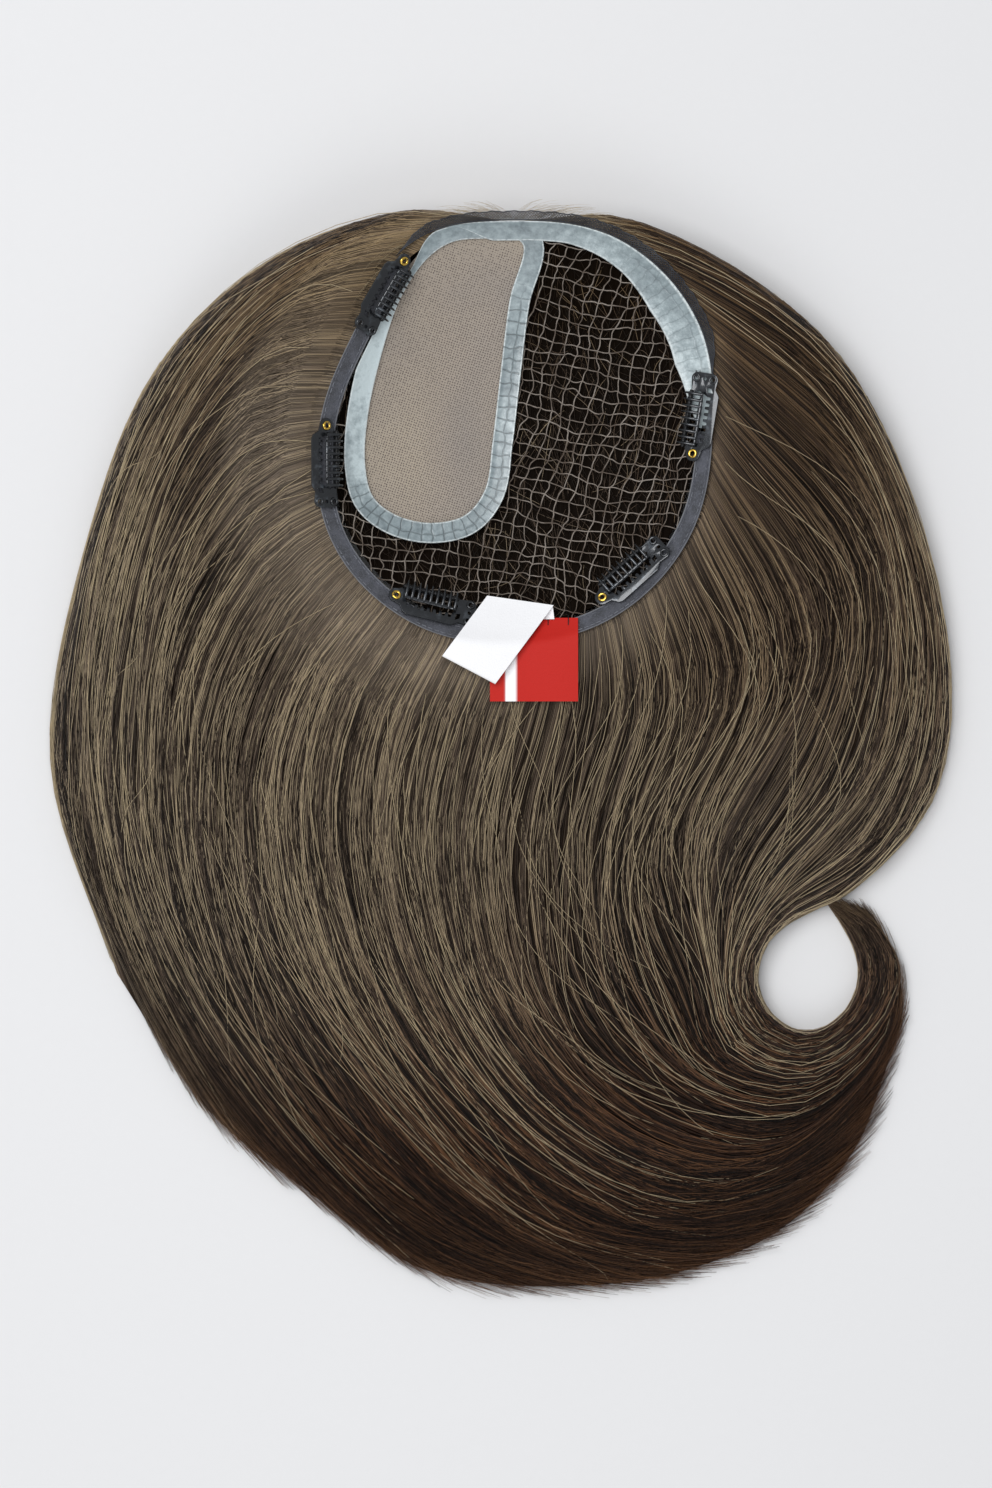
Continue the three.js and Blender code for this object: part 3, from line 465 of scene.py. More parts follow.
def loft(rings, closed=False):
    """Closed body through rings of points (rings, points in each, 3): quads from ring to ring,
    and a fan of triangles over each end unless the last ring joins the first."""
    count, sides = rings.shape[:2]
    points = rings.reshape(-1, 3)
    quads = grid_quads(count, sides, wrap_rows=closed, wrap_columns=True)
    turned = outward(points, quads)
    if closed:
        return points, [turned]
    k = np.arange(1, sides - 1)
    start = np.stack([np.zeros_like(k), k, k + 1], -1)
    end = start[:, ::-1] + (count - 1) * sides
    caps = np.concatenate([start, end])
    if turned[0, 1] != quads[0, 1]:
        caps = caps[:, ::-1]
    return points, [turned, caps]


def tubes(paths, half_widths, half_heights, sides=3):
    """Many closed tubes at once. A ring of each is a polygon stretched to half a width across
    the path, level, and half a height square to both. paths is (tubes, points, 3)."""
    tangent = np.gradient(paths, axis=1)
    tangent /= np.linalg.norm(tangent, axis=-1, keepdims=True) + 1e-9
    side = np.cross(tangent, [0, 0, 1])
    side /= np.linalg.norm(side, axis=-1, keepdims=True) + 1e-9
    normal = np.cross(side, tangent)
    angles = np.pi / 2 + 2 * np.pi * np.arange(sides) / sides
    ring = paths[:, :, None]
    ring = ring + side[:, :, None] * (np.cos(angles)[:, None] * half_widths[:, :, None, None])
    ring = ring + normal[:, :, None] * (np.sin(angles)[:, None] * half_heights[:, :, None, None])
    count, length = paths.shape[:2]
    quads = grid_quads(length, sides, wrap_columns=True)
    offsets = (np.arange(count) * length * sides)[:, None, None]
    k = np.arange(1, sides - 1)
    start = np.stack([np.zeros_like(k), k, k + 1], -1)
    caps = np.concatenate([start[:, ::-1], start + (length - 1) * sides])
    points = ring.reshape(-1, 3)
    first = ring[0].reshape(-1, 3)
    if outward(first, quads)[0, 1] != quads[0, 1]:
        quads, caps = quads[:, ::-1], caps[:, ::-1]
    faces = [(f[None] + offsets).reshape(-1, f.shape[1]) for f in (quads, caps)]
    return points, faces


def tube_values(value, points, sides=3):
    """A value for each tube, or each of its points, spread over all the points of its mesh."""
    value = np.broadcast_to(value if value.ndim == 2 else value[:, None], (len(value), points))
    return np.repeat(value.ravel(), sides)


def tube_map(count, points, sides=3):
    """A map that gives each tube a cell of a square sheet, with its length up the cell."""
    cells = math.ceil(math.sqrt(count))
    tube, along, side = np.meshgrid(np.arange(count), np.arange(points), np.arange(sides), indexing="ij")
    u = (tube % cells + 0.15 + 0.7 * side / sides) / cells
    v = (tube // cells + 0.05 + 0.9 * along / (points - 1)) / cells
    return np.stack([u, v], -1)


# Materials

class Finish:
    """A material and its nodes. Constants go on the shader's own sockets."""

    def __init__(self, name, **constants):
        self.material = bpy.data.materials.new(name)
        self.material.use_nodes = True
        self.tree = self.material.node_tree
        self.shader = self.tree.nodes["Principled BSDF"]
        for socket, value in constants.items():
            self.shader.inputs[socket.replace("_", " ")].default_value = value

    def add(self, kind, settings=None, **inputs):
        """A node with its settings, and its inputs set to values or linked to sockets."""
        node = self.tree.nodes.new(kind)
        for key, value in (settings or {}).items():
            setattr(node, key, value)
        for socket, value in inputs.items():
            numbered = socket[0] == "i" and socket[1:].isdigit()
            self.put(node.inputs[int(socket[1:]) if numbered else socket.replace("_", " ")], value)
        return node

    def put(self, socket, value):
        """Links a socket to a value that is a socket, or else sets it."""
        if isinstance(value, bpy.types.NodeSocket):
            self.tree.links.new(value, socket)
        else:
            socket.default_value = value

    def where(self):
        """Object coordinates."""
        return self.add("ShaderNodeTexCoord").outputs["Object"]

    def map(self, name, scale=(1, 1, 1)):
        """The piece's own map, scaled."""
        uv = self.add("ShaderNodeUVMap", {"uv_map": name}).outputs["UV"]
        return self.add("ShaderNodeMapping", Vector=uv, Scale=scale).outputs["Vector"]

    def attribute(self, name):
        """A float that the mesh holds at each point."""
        return self.add("ShaderNodeAttribute", {"attribute_name": name}).outputs["Fac"]

    def noise(self, vector, scale, detail=2.0, roughness=0.5):
        """Noise from 0 to 1."""
        node = self.add("ShaderNodeTexNoise", Vector=vector, Scale=scale, Detail=detail, Roughness=roughness)
        return node.outputs["Fac"]

    def spots(self, vector, scale, randomness=1.0):
        """Distance to the nearest of scattered points."""
        node = self.add("ShaderNodeTexVoronoi", Vector=vector, Scale=scale, Randomness=randomness)
        return node.outputs["Distance"]

    def ramp(self, factor, *stops):
        """Colours along a factor, each stop a place and a colour."""
        node = self.add("ShaderNodeValToRGB", Fac=factor)
        band = node.color_ramp
        while len(band.elements) < len(stops):
            band.elements.new(0.5)
        for element, (place, shade) in zip(band.elements, stops):
            element.position = place
            element.color = shade if len(shade) == 4 else (*shade, 1)
        return node.outputs["Color"]

    def math(self, operation, a, b=0.0, c=0.0):
        """One sum."""
        return self.add("ShaderNodeMath", {"operation": operation}, i0=a, i1=b, i2=c).outputs[0]

    def range(self, value, low, high, to_low=0.0, to_high=1.0):
        """A value moved from one range to another, held inside it, with smooth ends."""
        node = self.add("ShaderNodeMapRange", {"interpolation_type": "SMOOTHSTEP"}, Value=value)
        limits = {"From Min": low, "From Max": high, "To Min": to_low, "To Max": to_high}
        for socket, number in limits.items():
            node.inputs[socket].default_value = number
        return node.outputs["Result"]

    def blend(self, factor, a, b, how="MIX"):
        """Two colours mixed."""
        node = self.add("ShaderNodeMix", {"data_type": "RGBA", "blend_type": how})
        for socket, value in zip([node.inputs[i] for i in (0, 6, 7)], (factor, a, b)):
            self.put(socket, value)
        return node.outputs[2]

    def bump(self, height, distance, strength=1.0):
        """Sets the shader's bump from a height."""
        node = self.add("ShaderNodeBump", Height=height, Distance=distance, Strength=strength)
        self.put(self.shader.inputs["Normal"], node.outputs["Normal"])

    def done(self, base=None, roughness=None):
        """Links colour and roughness, and gives the material."""
        if base is not None:
            self.put(self.shader.inputs["Base Color"], base)
        if roughness is not None:
            self.put(self.shader.inputs["Roughness"], roughness)
        return self.material


def hair_finish(name, gloss, streaks=False):
    """Hair: a brown that follows each strand's own shade, with a painted highlight where it bends
    over the rim and painted shade on the slope past it, darker on the right, deeper and warmer
    towards the back, and golden at the front. On the beds under the strands, fine streaks follow the map."""
    looks = bpy.context.scene.topper_colours
    finish = Finish(name, Specular_IOR_Level=gloss)
    where = finish.where()
    shade = finish.attribute("shade")
    if streaks:
        fine = finish.noise(finish.map("Strands", (260, 2.5, 1)), 1, 3, 0.65)
        shade = finish.math("MULTIPLY_ADD", fine, 1.3, finish.math("SUBTRACT", shade, 0.65))
    else:
        patches = finish.noise(where, 45, 2)
        shade = finish.math("MULTIPLY_ADD", patches, 0.3, finish.math("SUBTRACT", shade, 0.15))
    base = finish.ramp(
        shade,
        (0.0, looks.hair_shadow),
        (0.32, looks.hair_dark),
        (0.66, looks.hair_mid),
        (1.0, looks.hair_light),
    )
    place = finish.add("ShaderNodeSeparateXYZ", Vector=where)
    x, y = place.outputs["X"], place.outputs["Y"]
    past = finish.math("MULTIPLY_ADD", x, 0.6, finish.attribute("along"))
    # Painted highlight: a taupe band where the hair bends over the rim.
    base = finish.blend(finish.range(past, 0.11, 0.02, 0.0, 0.3), base, looks.hair_rim_highlight)
    # Painted shade on the slope past the rim, where the hair falls away towards the table.
    slope = finish.math("MULTIPLY", finish.range(past, 0.04, 0.1), finish.range(past, 0.4, 0.2))
    slope = finish.math("MULTIPLY", slope, finish.range(y, 0.05, 0.11))
    right = finish.math("MULTIPLY", finish.range(x, 0.02, 0.09), finish.range(y, -0.04, 0.03, 0.35, 1.0))
    base = finish.blend(slope, base, looks.hair_slope_shade, "MULTIPLY")
    base = finish.blend(right, base, looks.hair_right, "MULTIPLY")
    base = finish.blend(finish.range(y, 0.1, 0.18), base, looks.hair_front, "MULTIPLY")
    deep = finish.range(finish.math("SUBTRACT", finish.math("MULTIPLY", x, 0.2), y), 0.03, 0.14)
    base = finish.blend(deep, base, looks.hair_deep, "MULTIPLY")
    if streaks:
        finish.bump(fine, 0.0009, 0.8)
    return finish.done(base, finish.range(shade, 0, 1, 0.5, 0.34))


def thread_finish(name, light, dark, roughness=0.75):
    """Twisted thread: two tones of a fine noise, and its bump."""
    finish = Finish(name, Roughness=roughness, Specular_IOR_Level=0.3)
    where = finish.where()
    twist = finish.noise(where, 2600, 2)
    tone = finish.noise(where, 180, 2)
    base = finish.blend(finish.range(tone, 0.3, 0.7), dark, light)
    base = finish.blend(finish.range(twist, 0.35, 0.7, 0, 0.35), base, dark)
    finish.bump(twist, 0.0002, 0.6)
    return finish.done(base)


def skin_finish():
    """Clear skin over net: cloudy grey-blue, whitish along its edges, with dark net lines below
    it where the netted value is set. The map counts millimetres along and across the strip."""
    looks = bpy.context.scene.topper_colours
    finish = Finish("clear_skin", Specular_IOR_Level=0.6, Coat_Weight=0.35, Coat_Roughness=0.18)
    where = finish.where()
    clouds = finish.noise(where, 330, 5, 0.68)
    broad = finish.noise(where, 42, 2)
    tone = finish.math("ADD", finish.math("MULTIPLY", clouds, 0.62), finish.math("MULTIPLY", broad, 0.38))
    tone = finish.math("ADD", tone, finish.range(finish.attribute("cloudy"), 0, 1, -0.06, 0.16))
    base = finish.ramp(tone, (0.3, looks.skin_dark), (0.5, looks.skin_mid), (0.68, looks.skin_light))
    wobble = finish.noise(where, 240, 1)
    shift = finish.math("MULTIPLY", finish.math("SUBTRACT", wobble, 0.5), 2.4)
    split = finish.add("ShaderNodeSeparateXYZ", Vector=finish.map("Strip"))
    rungs = finish.math("PINGPONG", finish.math("ADD", split.outputs["X"], shift), 2.1)
    from_rail = finish.math("SUBTRACT", finish.math("ADD", split.outputs["Y"], shift), 3.1)
    rail = finish.math("ABSOLUTE", from_rail)
    rail = finish.range(rail, 0.42, 0.08, 0.0, 0.75)
    lines = finish.math("MAXIMUM", finish.range(rungs, 0.45, 0.05), rail)
    lines = finish.math("MULTIPLY", lines, finish.attribute("netted"))
    base = finish.blend(finish.math("MULTIPLY", lines, 0.72), base, looks.skin_line)
    edge = finish.attribute("edge")
    specks = finish.noise(where, 900, 2)
    whitish = finish.math("MULTIPLY", edge, finish.range(specks, 0.3, 0.62, 0.25, 1.0))
    base = finish.blend(whitish, base, looks.skin_edge)
    height = finish.math("SUBTRACT", clouds, finish.math("MULTIPLY", lines, 0.6))
    finish.bump(height, 0.0006, 0.5)
    return finish.done(base, finish.range(clouds, 0.3, 0.7, 0.42, 0.26))


def silk_finish():
    """Gauze of the patch: beige with a close grid of dark knots, greyer in clouds."""
    looks = bpy.context.scene.topper_colours
    finish = Finish("silk_gauze", Roughness=0.72, Specular_IOR_Level=0.3, Sheen_Weight=0.15)
    where = finish.where()
    turned = finish.add("ShaderNodeMapping", Vector=where, Rotation=(0, 0, 0.3)).outputs["Vector"]
    flat = finish.add("ShaderNodeMapping", Vector=turned, Scale=(1, 1, 0.01)).outputs["Vector"]
    knots = finish.spots(flat, 1150, 0.25)
    clouds = finish.noise(where, 26, 1, 0.4)
    weave = finish.noise(where, 1500, 2, 0.7)
    base = finish.ramp(clouds, (0.25, looks.silk_grey), (0.5, looks.silk), (0.75, looks.silk_light))
    base = finish.blend(finish.range(weave, 0.3, 0.75, 0.0, 0.35), base, looks.silk_grey)
    dots = finish.range(knots, 0.4, 0.16, 0.0, 0.9)
    base = finish.blend(dots, base, looks.silk_knot)
    finish.bump(finish.math("ADD", dots, finish.math("MULTIPLY", weave, 0.4)), 0.0002, 0.6)
    return finish.done(base)


def tape_finish():
    """Woven tape: dark grey with cross ribs, a mottled face and lighter selvedges."""
    looks = bpy.context.scene.topper_colours
    finish = Finish(
        "woven_tape", Roughness=0.62, Specular_IOR_Level=0.35, Sheen_Weight=0.3, Sheen_Roughness=0.5
    )
    where = finish.where()
    split = finish.add("ShaderNodeSeparateXYZ", Vector=finish.map("Strip"))
    ribs = finish.math("PINGPONG", split.outputs["X"], 0.28)
    face = finish.noise(where, 260, 3, 0.6)
    fibre = finish.noise(finish.map("Strip", (1.2, 7, 1)), 1, 3, 0.6)
    base = finish.blend(finish.range(face, 0.3, 0.7), looks.tape_dark, looks.tape)
    base = finish.blend(finish.range(fibre, 0.45, 0.75, 0, 0.5), base, looks.tape_light)
    base = finish.blend(finish.math("MULTIPLY", finish.attribute("edge"), 0.65), base, looks.tape_light)
    finish.bump(finish.math("ADD", ribs, fibre), 0.0003, 0.7)
    return finish.done(base)


def metal_finish(name, base, metallic, roughness, wear_and_glint):
    """Painted or plated metal: a faint grain, smears in the gloss, and paler patches in the smears that are
    partly wear and partly painted glint.
    """
    finish = Finish(name, Metallic=metallic, Specular_IOR_Level=0.7, Coat_Weight=0.9, Coat_Roughness=0.1)
    where = finish.where()
    smears = finish.noise(where, 220, 3, 0.6)
    grain = finish.noise(where, 2400, 2)
    # Paler patches where the smears rise: partly rubbed paint, partly painted glint.
    shade = finish.blend(finish.range(smears, 0.52, 0.75, 0, 0.5), base, wear_and_glint)
    finish.bump(grain, 0.00008, 0.4)
    return finish.done(shade, finish.range(smears, 0.3, 0.7, roughness * 0.8, roughness * 1.3))


def ribbon_finish(name, face, stripe=None):
    """Satin ribbon: fine cross ribs and a sheen. A stripe is woven in where the value stripe is."""
    finish = Finish(name, Roughness=0.6, Specular_IOR_Level=0.25, Sheen_Weight=0.1, Sheen_Roughness=0.4)
    split = finish.add("ShaderNodeSeparateXYZ", Vector=finish.map("Strip"))
    ribs = finish.math("PINGPONG", split.outputs["X"], 0.22)
    threads = finish.noise(finish.map("Strip", (2, 9, 1)), 1, 3, 0.6)
    shadow = tuple(0.72 * part for part in face[:3]) + (1,)
    base = finish.blend(finish.range(threads, 0.3, 0.75, 0.0, 0.5), face, shadow)
    if stripe is not None:
        base = finish.blend(finish.attribute("stripe"), base, stripe)
    finish.bump(finish.math("ADD", ribs, threads), 0.0002, 0.45)
    return finish.done(base)


# Settings

def length(name, description, default):
    """A length in metres that the sidebar shows in the scene's unit."""
    return FloatProperty(
        name=name, description=description, default=default, min=0, unit="LENGTH", precision=5
    )


def tint(name, description, code):
    """A colour."""
    return FloatVectorProperty(
        name=name, description=description, default=colour(code), size=4, subtype="COLOR", min=0, max=1
    )


class TopperSizes(PropertyGroup):
    """Sizes of the fine parts, which the model leaves out."""

    strand_width: length("Strand width", "Width of a strand of hair at its thickest", 0.00034)
    strand_lift: length("Strand lift", "How far the loosest strands lie above the hair's mass", 0.0012)
    clump_width: FloatProperty(
        name="Clump pull", description="How far strands draw together towards the tips",
        default=0.35, subtype="FACTOR"
    )
    clumps: IntProperty(
        name="Clumps", description="Clumps of strands in each hair section", default=80, min=4
    )
    net_cell: length("Net cell", "Side of one cell of the knotted net", 0.0042)
    net_thread: length("Net thread", "Thickness of the net's thread", 0.00044)
    lace_cell: length("Lace cell", "Side of one cell of the fine lace", 0.00095)
    lace_thread: length("Lace thread", "Thickness of the lace's thread", 0.00028)
    cloth: length("Label thickness", "Thickness of the label ribbon", 0.00045)


class TopperColours(PropertyGroup):
    """Colours of the finishes."""

    hair_shadow: tint("Hair shadow", "Darkest hair, deep between strands", 0x130D08)
    hair_dark: tint("Hair dark", "Dark brown hair", 0x33281E)
    hair_mid: tint("Hair mid", "Brown of most strands", 0x66574A)
    hair_light: tint("Hair light", "Light strands", 0xAB9A7E)
    # Painted highlight: taupe where the hair bends over the rim.
    hair_rim_highlight: tint("Hair at the rim", "Taupe where the hair bends over the rim", 0x9C8D7B)
    hair_deep: tint("Hair towards the back", "Tint that deepens the hair there", 0xB28E78)
    # Painted shade: darkens the hair on the slope past the base.
    hair_slope_shade: tint("Hair on the slope", "Tint that darkens the hair past the base", 0xC4BAB2)
    hair_right: tint("Hair at the right", "Tint that darkens the hair there", 0xE4DAD2)
    hair_front: tint("Hair at the front", "Golden tint of the hair there", 0xFAF0DC)
    # Pale hairs; along the fan's outlines this paleness is partly painted rim light.
    hair_fuzz: tint("Fuzz", "Short pale hairs", 0xC2B08E)
    net: tint("Net", "Thread of the net", 0x9A9188)
    net_dark: tint("Net shadow", "Darker parts of the thread", 0x5C5148)
    skin_light: tint("Skin light", "Cloudy parts of the clear skin", 0xBFCCCF)
    skin_mid: tint("Skin", "Clear skin", 0x909DA1)
    skin_dark: tint("Skin dark", "Darker parts of the clear skin", 0x687479)
    skin_line: tint("Skin lines", "Net under the skin", 0x454E51)
    skin_edge: tint("Skin edge", "Cut edge of the skin", 0xE3EBEC)
    silk: tint("Silk", "Gauze of the patch", 0x9E9387)
    silk_light: tint("Silk light", "Lighter clouds of the gauze", 0xA89C8C)
    silk_grey: tint("Silk grey", "Greyer clouds of the gauze", 0x8B8580)
    silk_knot: tint("Silk knots", "Knots in the gauze", 0x534B45)
    tape: tint("Tape", "Woven tape", 0x4A4C55)
    tape_dark: tint("Tape dark", "Darker parts of the tape", 0x303238)
    tape_light: tint("Tape light", "Selvedges and worn fibres", 0x83868E)
    lace: tint("Lace", "Fine lace", 0x4A4C50)
    steel: tint("Clip steel", "Black painted steel", 0x25282C)
    # Paler clip steel: partly rubbed paint, partly painted glint.
    steel_wear_and_glint: tint("Clip steel worn", "Paler, rubbed paint", 0x747D86)
    gold: tint("Eyelet gold", "Plated eyelet", 0xE2B94A)
    rubber: tint("Grip", "Soft grip tube", 0x0F0F11)
    red: tint("Red label", "Red ribbon", 0xC21F15)
    white: tint("White label", "White ribbon", 0xF8F8FA)
    floor: tint("Floor", "Floor", 0xE0E0E1)


# Hair

def strand_paths(first, last, count, steps, seed):
    """Strands of a section. Each starts evenly spread under the edge, draws towards its clump by
    a smooth step of v, sways by two sine waves, and past SETTLE slows down along v and drifts over
    the guides, both by a square. Its points are shifted a little along it, so that neighbours
    don't bend side by side. Its height is the fan's top plus a lift. Its shade is darker past the
    root's quarter and darker the lower it lies, painted shade, and paler along the outlines and at
    the tip, painted rim light. Gives the paths, the places v, the shades and the width shares."""
    sizes = bpy.context.scene.topper_sizes
    rng = np.random.default_rng(seed)
    end_guide = len(GUIDES) - 1
    low, high = max(first - 0.06, 0), min(last + 0.06, end_guide)
    u0 = mix(low, high, (np.arange(count) + rng.random(count)) / count)
    clumps = mix(low, high, (np.arange(sizes.clumps) + 0.15 + 0.7 * rng.random(sizes.clumps)) / sizes.clumps)
    own = np.abs(u0[:, None] - clumps).argmin(1)
    stray = rng.random(count) < STRAY_SHARE
    curled = smooth(u0 - FIRST_CURLED + 1)
    end = 0.95 + 0.02 * rng.random(sizes.clumps)[own] + 0.06 * rng.random(count)
    end = mix(end, 0.99 + 0.022 * rng.random(count), curled)
    spread = CURL_SPREAD if last > FIRST_CURLED else POINT_SPREAD
    even = np.linspace(0, 1, steps + 1)
    shifted = even + (rng.random(count)[:, None] - 0.5) / steps * np.sin(np.pi * even)
    t = np.interp(shifted, *spread.T)
    slowed = (0.5 * (1 - SETTLED_PACE) / (1 - SETTLE) * (1 - curled))[:, None]
    settled = (t - slowed * np.maximum(t - SETTLE, 0) ** 2) / (1 - slowed * (1 - SETTLE) ** 2)
    v = mix(-0.012, end[:, None], settled)
    pull = sizes.clump_width * (0.55 + 0.45 * rng.random(sizes.clumps))[own] * ~stray
    pull = pull * smooth(np.minimum(u0, end_guide - u0) / 0.3)
    phase, beat = rng.random((4, count)) * 2 * np.pi, 0.7 + rng.random((2, count))
    bend = (rng.random((2, sizes.clumps)) * 2 * np.pi)[:, own]
    rise = smooth(v / 0.4)
    u = u0[:, None] + (clumps[own] - u0)[:, None] * pull[:, None] * smooth((v - 0.08) / 0.75)
    u = u + rise * 0.045 * np.sin(5 * v + bend[0][:, None]) * np.sin(11 * v + bend[1][:, None])
    sway = np.sin(2 * np.pi * beat[0][:, None] * v + phase[0][:, None])
    ripple = np.sin(2 * np.pi * 1.7 * beat[1][:, None] * v + phase[1][:, None])
    u = u + rise * np.where(stray, 0.13, 0.02)[:, None] * (sway + 0.25 * ripple)
    u = u + np.interp(u0, *DRIFT.T)[:, None] * np.maximum((t - SETTLE) / (1 - SETTLE), 0) ** 2
    margin = 0.012 * rng.random(count)[:, None]
    u = np.clip(u, margin, end_guide - margin)
    point = hair_point(u, v)
    top = fan_top(u, np.clip(v, 0, 1), point)
    depth = rng.random(count) ** 1.5
    sunk = np.where(rng.random(count) < 0.5, rng.random(count), 1)
    level = mix(1, sunk[:, None], smooth((v - 0.7) / 0.3))
    wall = smooth(1 - np.minimum(u, end_guide - u) / 0.06) * smooth(v / 0.1)
    level = level * mix(1, 0.15 + 0.85 * rng.random(count)[:, None], wall)
    lift = sizes.strand_lift / MM * depth[:, None] * mix(0.35, 1, smooth(v / 0.12))
    lift = lift + 0.12 * ripple * rise
    z = np.maximum(top * level + lift - 0.15, 0.35)
    # Painted shade: strands with a smaller lift, lying lower in the mass, are darker, those on top lighter.
    tone = rng.random(sizes.clumps)[own] * 0.32 + rng.random(count) ** 1.7 * 1.05 + depth * 0.2
    tone = np.where(stray, tone + 0.15, tone) - 0.13
    # Darker past the root's quarter; lighter at the tips and, below, along the fan's two outlines past the
    # root: painted rim light.
    tone = tone[:, None] - 0.17 * smooth((v - 0.25) / 0.35) + 0.55 * smooth((v - 0.96) / 0.05)
    tone = tone + 0.4 * smooth(1 - np.minimum(u, end_guide - u) / 0.16) * smooth(v / 0.1)
    width = 0.55 + 0.45 * rng.random(count)
    thin = mix(0.3, 0.12, curled)[:, None]
    taper = mix(0.7, 1, smooth(v / 0.05)) * mix(1, 0.3, smooth((v - end[:, None] + thin) / thin))
    return np.dstack([point, z]), v, tone, width[:, None] * taper


def lay_strands(name, paths, v, tone, width, material, body="root"):
    """One mesh of closed three-sided strands, a little flatter than wide."""
    half = bpy.context.scene.topper_sizes.strand_width / MM / 2 * width
    points, faces = tubes(paths, half, half * 0.75)
    steps = paths.shape[1]
    values = {"shade": tube_values(tone, steps), "along": tube_values(v, steps)}
    uv = tube_map(len(paths), steps)
    return add_piece(name, points, faces, material, body, values, uv, "OFBake")


def hair_bed(name, first, last, seed, material):
    """The mass of a section under its strands: its top with fine ridges that run with the hair,
    its flat underside, and side walls drawn in by half a gap."""
    rng = np.random.default_rng(seed)
    columns, rows = 64, 46
    edge = 0.006
    spread = CURL_SPREAD if last > FIRST_CURLED else POINT_SPREAD
    t = np.interp(np.linspace(0, 1, rows), *spread.T)
    u, v = np.meshgrid(np.linspace(first + edge, last - edge, columns), t)
    v = np.where(v == 0, -0.012, v)
    point = hair_point(u, v)
    top = fan_top(u, np.clip(v, 0, 1), point)
    share = (u - first) / (last - first)
    early, late = (value_noise(rng, share, knots) for knots in (21, 27))
    fine = value_noise(rng, share, 46)
    ridge = mix(early, late, smooth(v)) * 0.7 + fine * 0.35
    inner = smooth(np.minimum(share, 1 - share) / 0.02)
    ridge_height = 0.8 * ridge * smooth(v / 0.2) * inner * mix(1, 0.45, smooth((v - 0.75) / 0.25))
    height = top - 0.95 - 0.3 * smooth(1 - v / 0.09) + ridge_height
    upper = np.dstack([point, np.maximum(height, 0.9)])
    lower = np.dstack([point, np.full_like(height, UNDERSIDE)])
    points, faces = slab(upper, lower)
    # Painted shade and light: darker in the grooves between the ridges and lighter on them; lighter towards
    # the tips and along the fan's two outlines, painted rim light.
    shade = 0.16 + 0.16 * ridge + 0.16 * smooth((v - 0.9) / 0.1)
    shade = shade + 0.55 * smooth(1 - np.minimum(u, len(GUIDES) - 1 - u) / 0.2)
    values = {"shade": both_faces(shade), "along": both_faces(v)}
    uv = both_faces(np.stack([share, v], -1))
    return add_piece(name, points, faces, material, "root", values, uv, "Strands", sharp=50)


class TOPPER_OT_hair(Operator):
    """Lay the long hair of each section on its bed, with flyaways over it and fuzz at the front"""

    bl_idname = "topper.hair"
    bl_label = "Long Hair"

    def execute(self, context):
        strands, beds = hair_finish("hair_strand", 0.22), hair_finish("hair_mass", 0.12, streaks=True)
        for seed, (name, (first, last, count, steps)) in enumerate(SECTIONS.items()):
            bed = hair_bed(f"{name}_hair_bed", first, last, 40 + seed, beds)
            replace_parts(bed, f"hair_{name}")
            lay_strands(f"{name}_strands", *strand_paths(first, last, count, steps, 80 + seed), strands)
        looks = context.scene.topper_colours
        lay_flyaways(thread_finish("loose_hair", looks.hair_fuzz, looks.hair_light, 0.45))
        lay_fuzz()
        return {"FINISHED"}


def lay_flyaways(material):
    """Single loose hairs, paler than the others. Most cross them: each drifts over a few guides and
    sways by a sine wave. The rest stand off along the fan's two outlines, where their paleness is
    partly painted rim light."""
    rng = np.random.default_rng(7)
    crossing, edging, steps = 270, 130, 14
    count = crossing + 2 * edging
    last = len(GUIDES) - 1
    group = np.repeat([0, 1, 2], [crossing, edging, edging])
    beyond = 0.05 * rng.random(count) ** 1.5 - 0.02
    u0 = np.choose(group, [rng.random(count) * last, -beyond, last + 0.8 * beyond])
    start = rng.random(count) * np.where(group == 0, 0.45, 0.6)
    reach = 0.25 + 0.35 * rng.random(count)
    t = np.linspace(0, 1, steps + 1)
    v = np.minimum(start[:, None] + reach[:, None] * t, 0.96 + 0.03 * t)
    drift = (rng.random(count) - 0.42) * np.where(group == 0, 2.4, 0.03)
    sway = np.where(group == 0, 0.12, 0.008)[:, None] * np.sin(5 * t + rng.random(count)[:, None] * 6)
    u = u0[:, None] + drift[:, None] * t + sway
    u = np.where(group[:, None] == 0, np.clip(u, 0.03, last - 0.03), u)
    point = hair_point(u, v)
    over = np.maximum(hair_top(point), TIP_THICKNESS) + 1.6 * np.sin(np.pi * t) + 0.6
    over = mix(over, TIP_THICKNESS + 1, smooth((v - 0.72) / 0.28))
    low = mix(over, 0.6 + 3 * rng.random(count)[:, None], smooth(v / 0.1))
    z = np.where(group[:, None] == 0, over, low)
    width = np.where(group == 0, 0.9, 0.75)[:, None] * mix(1, 0.5, t)
    lay_strands("loose_hairs", np.dstack([point, z]), v, np.ones(count), width, material)


def lay_fuzz():
    """Short pale hairs that stand out past the front edge, bent back along it."""
    looks = bpy.context.scene.topper_colours
    rng = np.random.default_rng(9)
    count, steps = 230, 6
    bearing = 90 + 17 * rng.standard_normal(count)
    t = np.linspace(0, 1, steps + 1)
    size = 4 + 9 * rng.random(count)
    turn = np.sign(bearing - 91) * (4 + 10 * rng.random(count))
    out = size[:, None] * np.sin(t * 1.3) * 0.55
    point = past_edge(bearing[:, None] + turn[:, None] * t**1.4, 1.5 * rng.random(count)[:, None] + out)
    z = bowl(point) + 0.6 + 1.4 * np.sin(np.pi * t * 0.8) * rng.random(count)[:, None]
    finish = thread_finish("pale_fuzz", looks.hair_fuzz, looks.hair_light, 0.45)
    width = 0.42 * mix(1, 0.3, t) * np.ones((count, 1))
    v = np.ones((count, 1)) * t
    lay_strands("front_fuzz", np.dstack([point, z]), v, np.ones(count), width, finish)


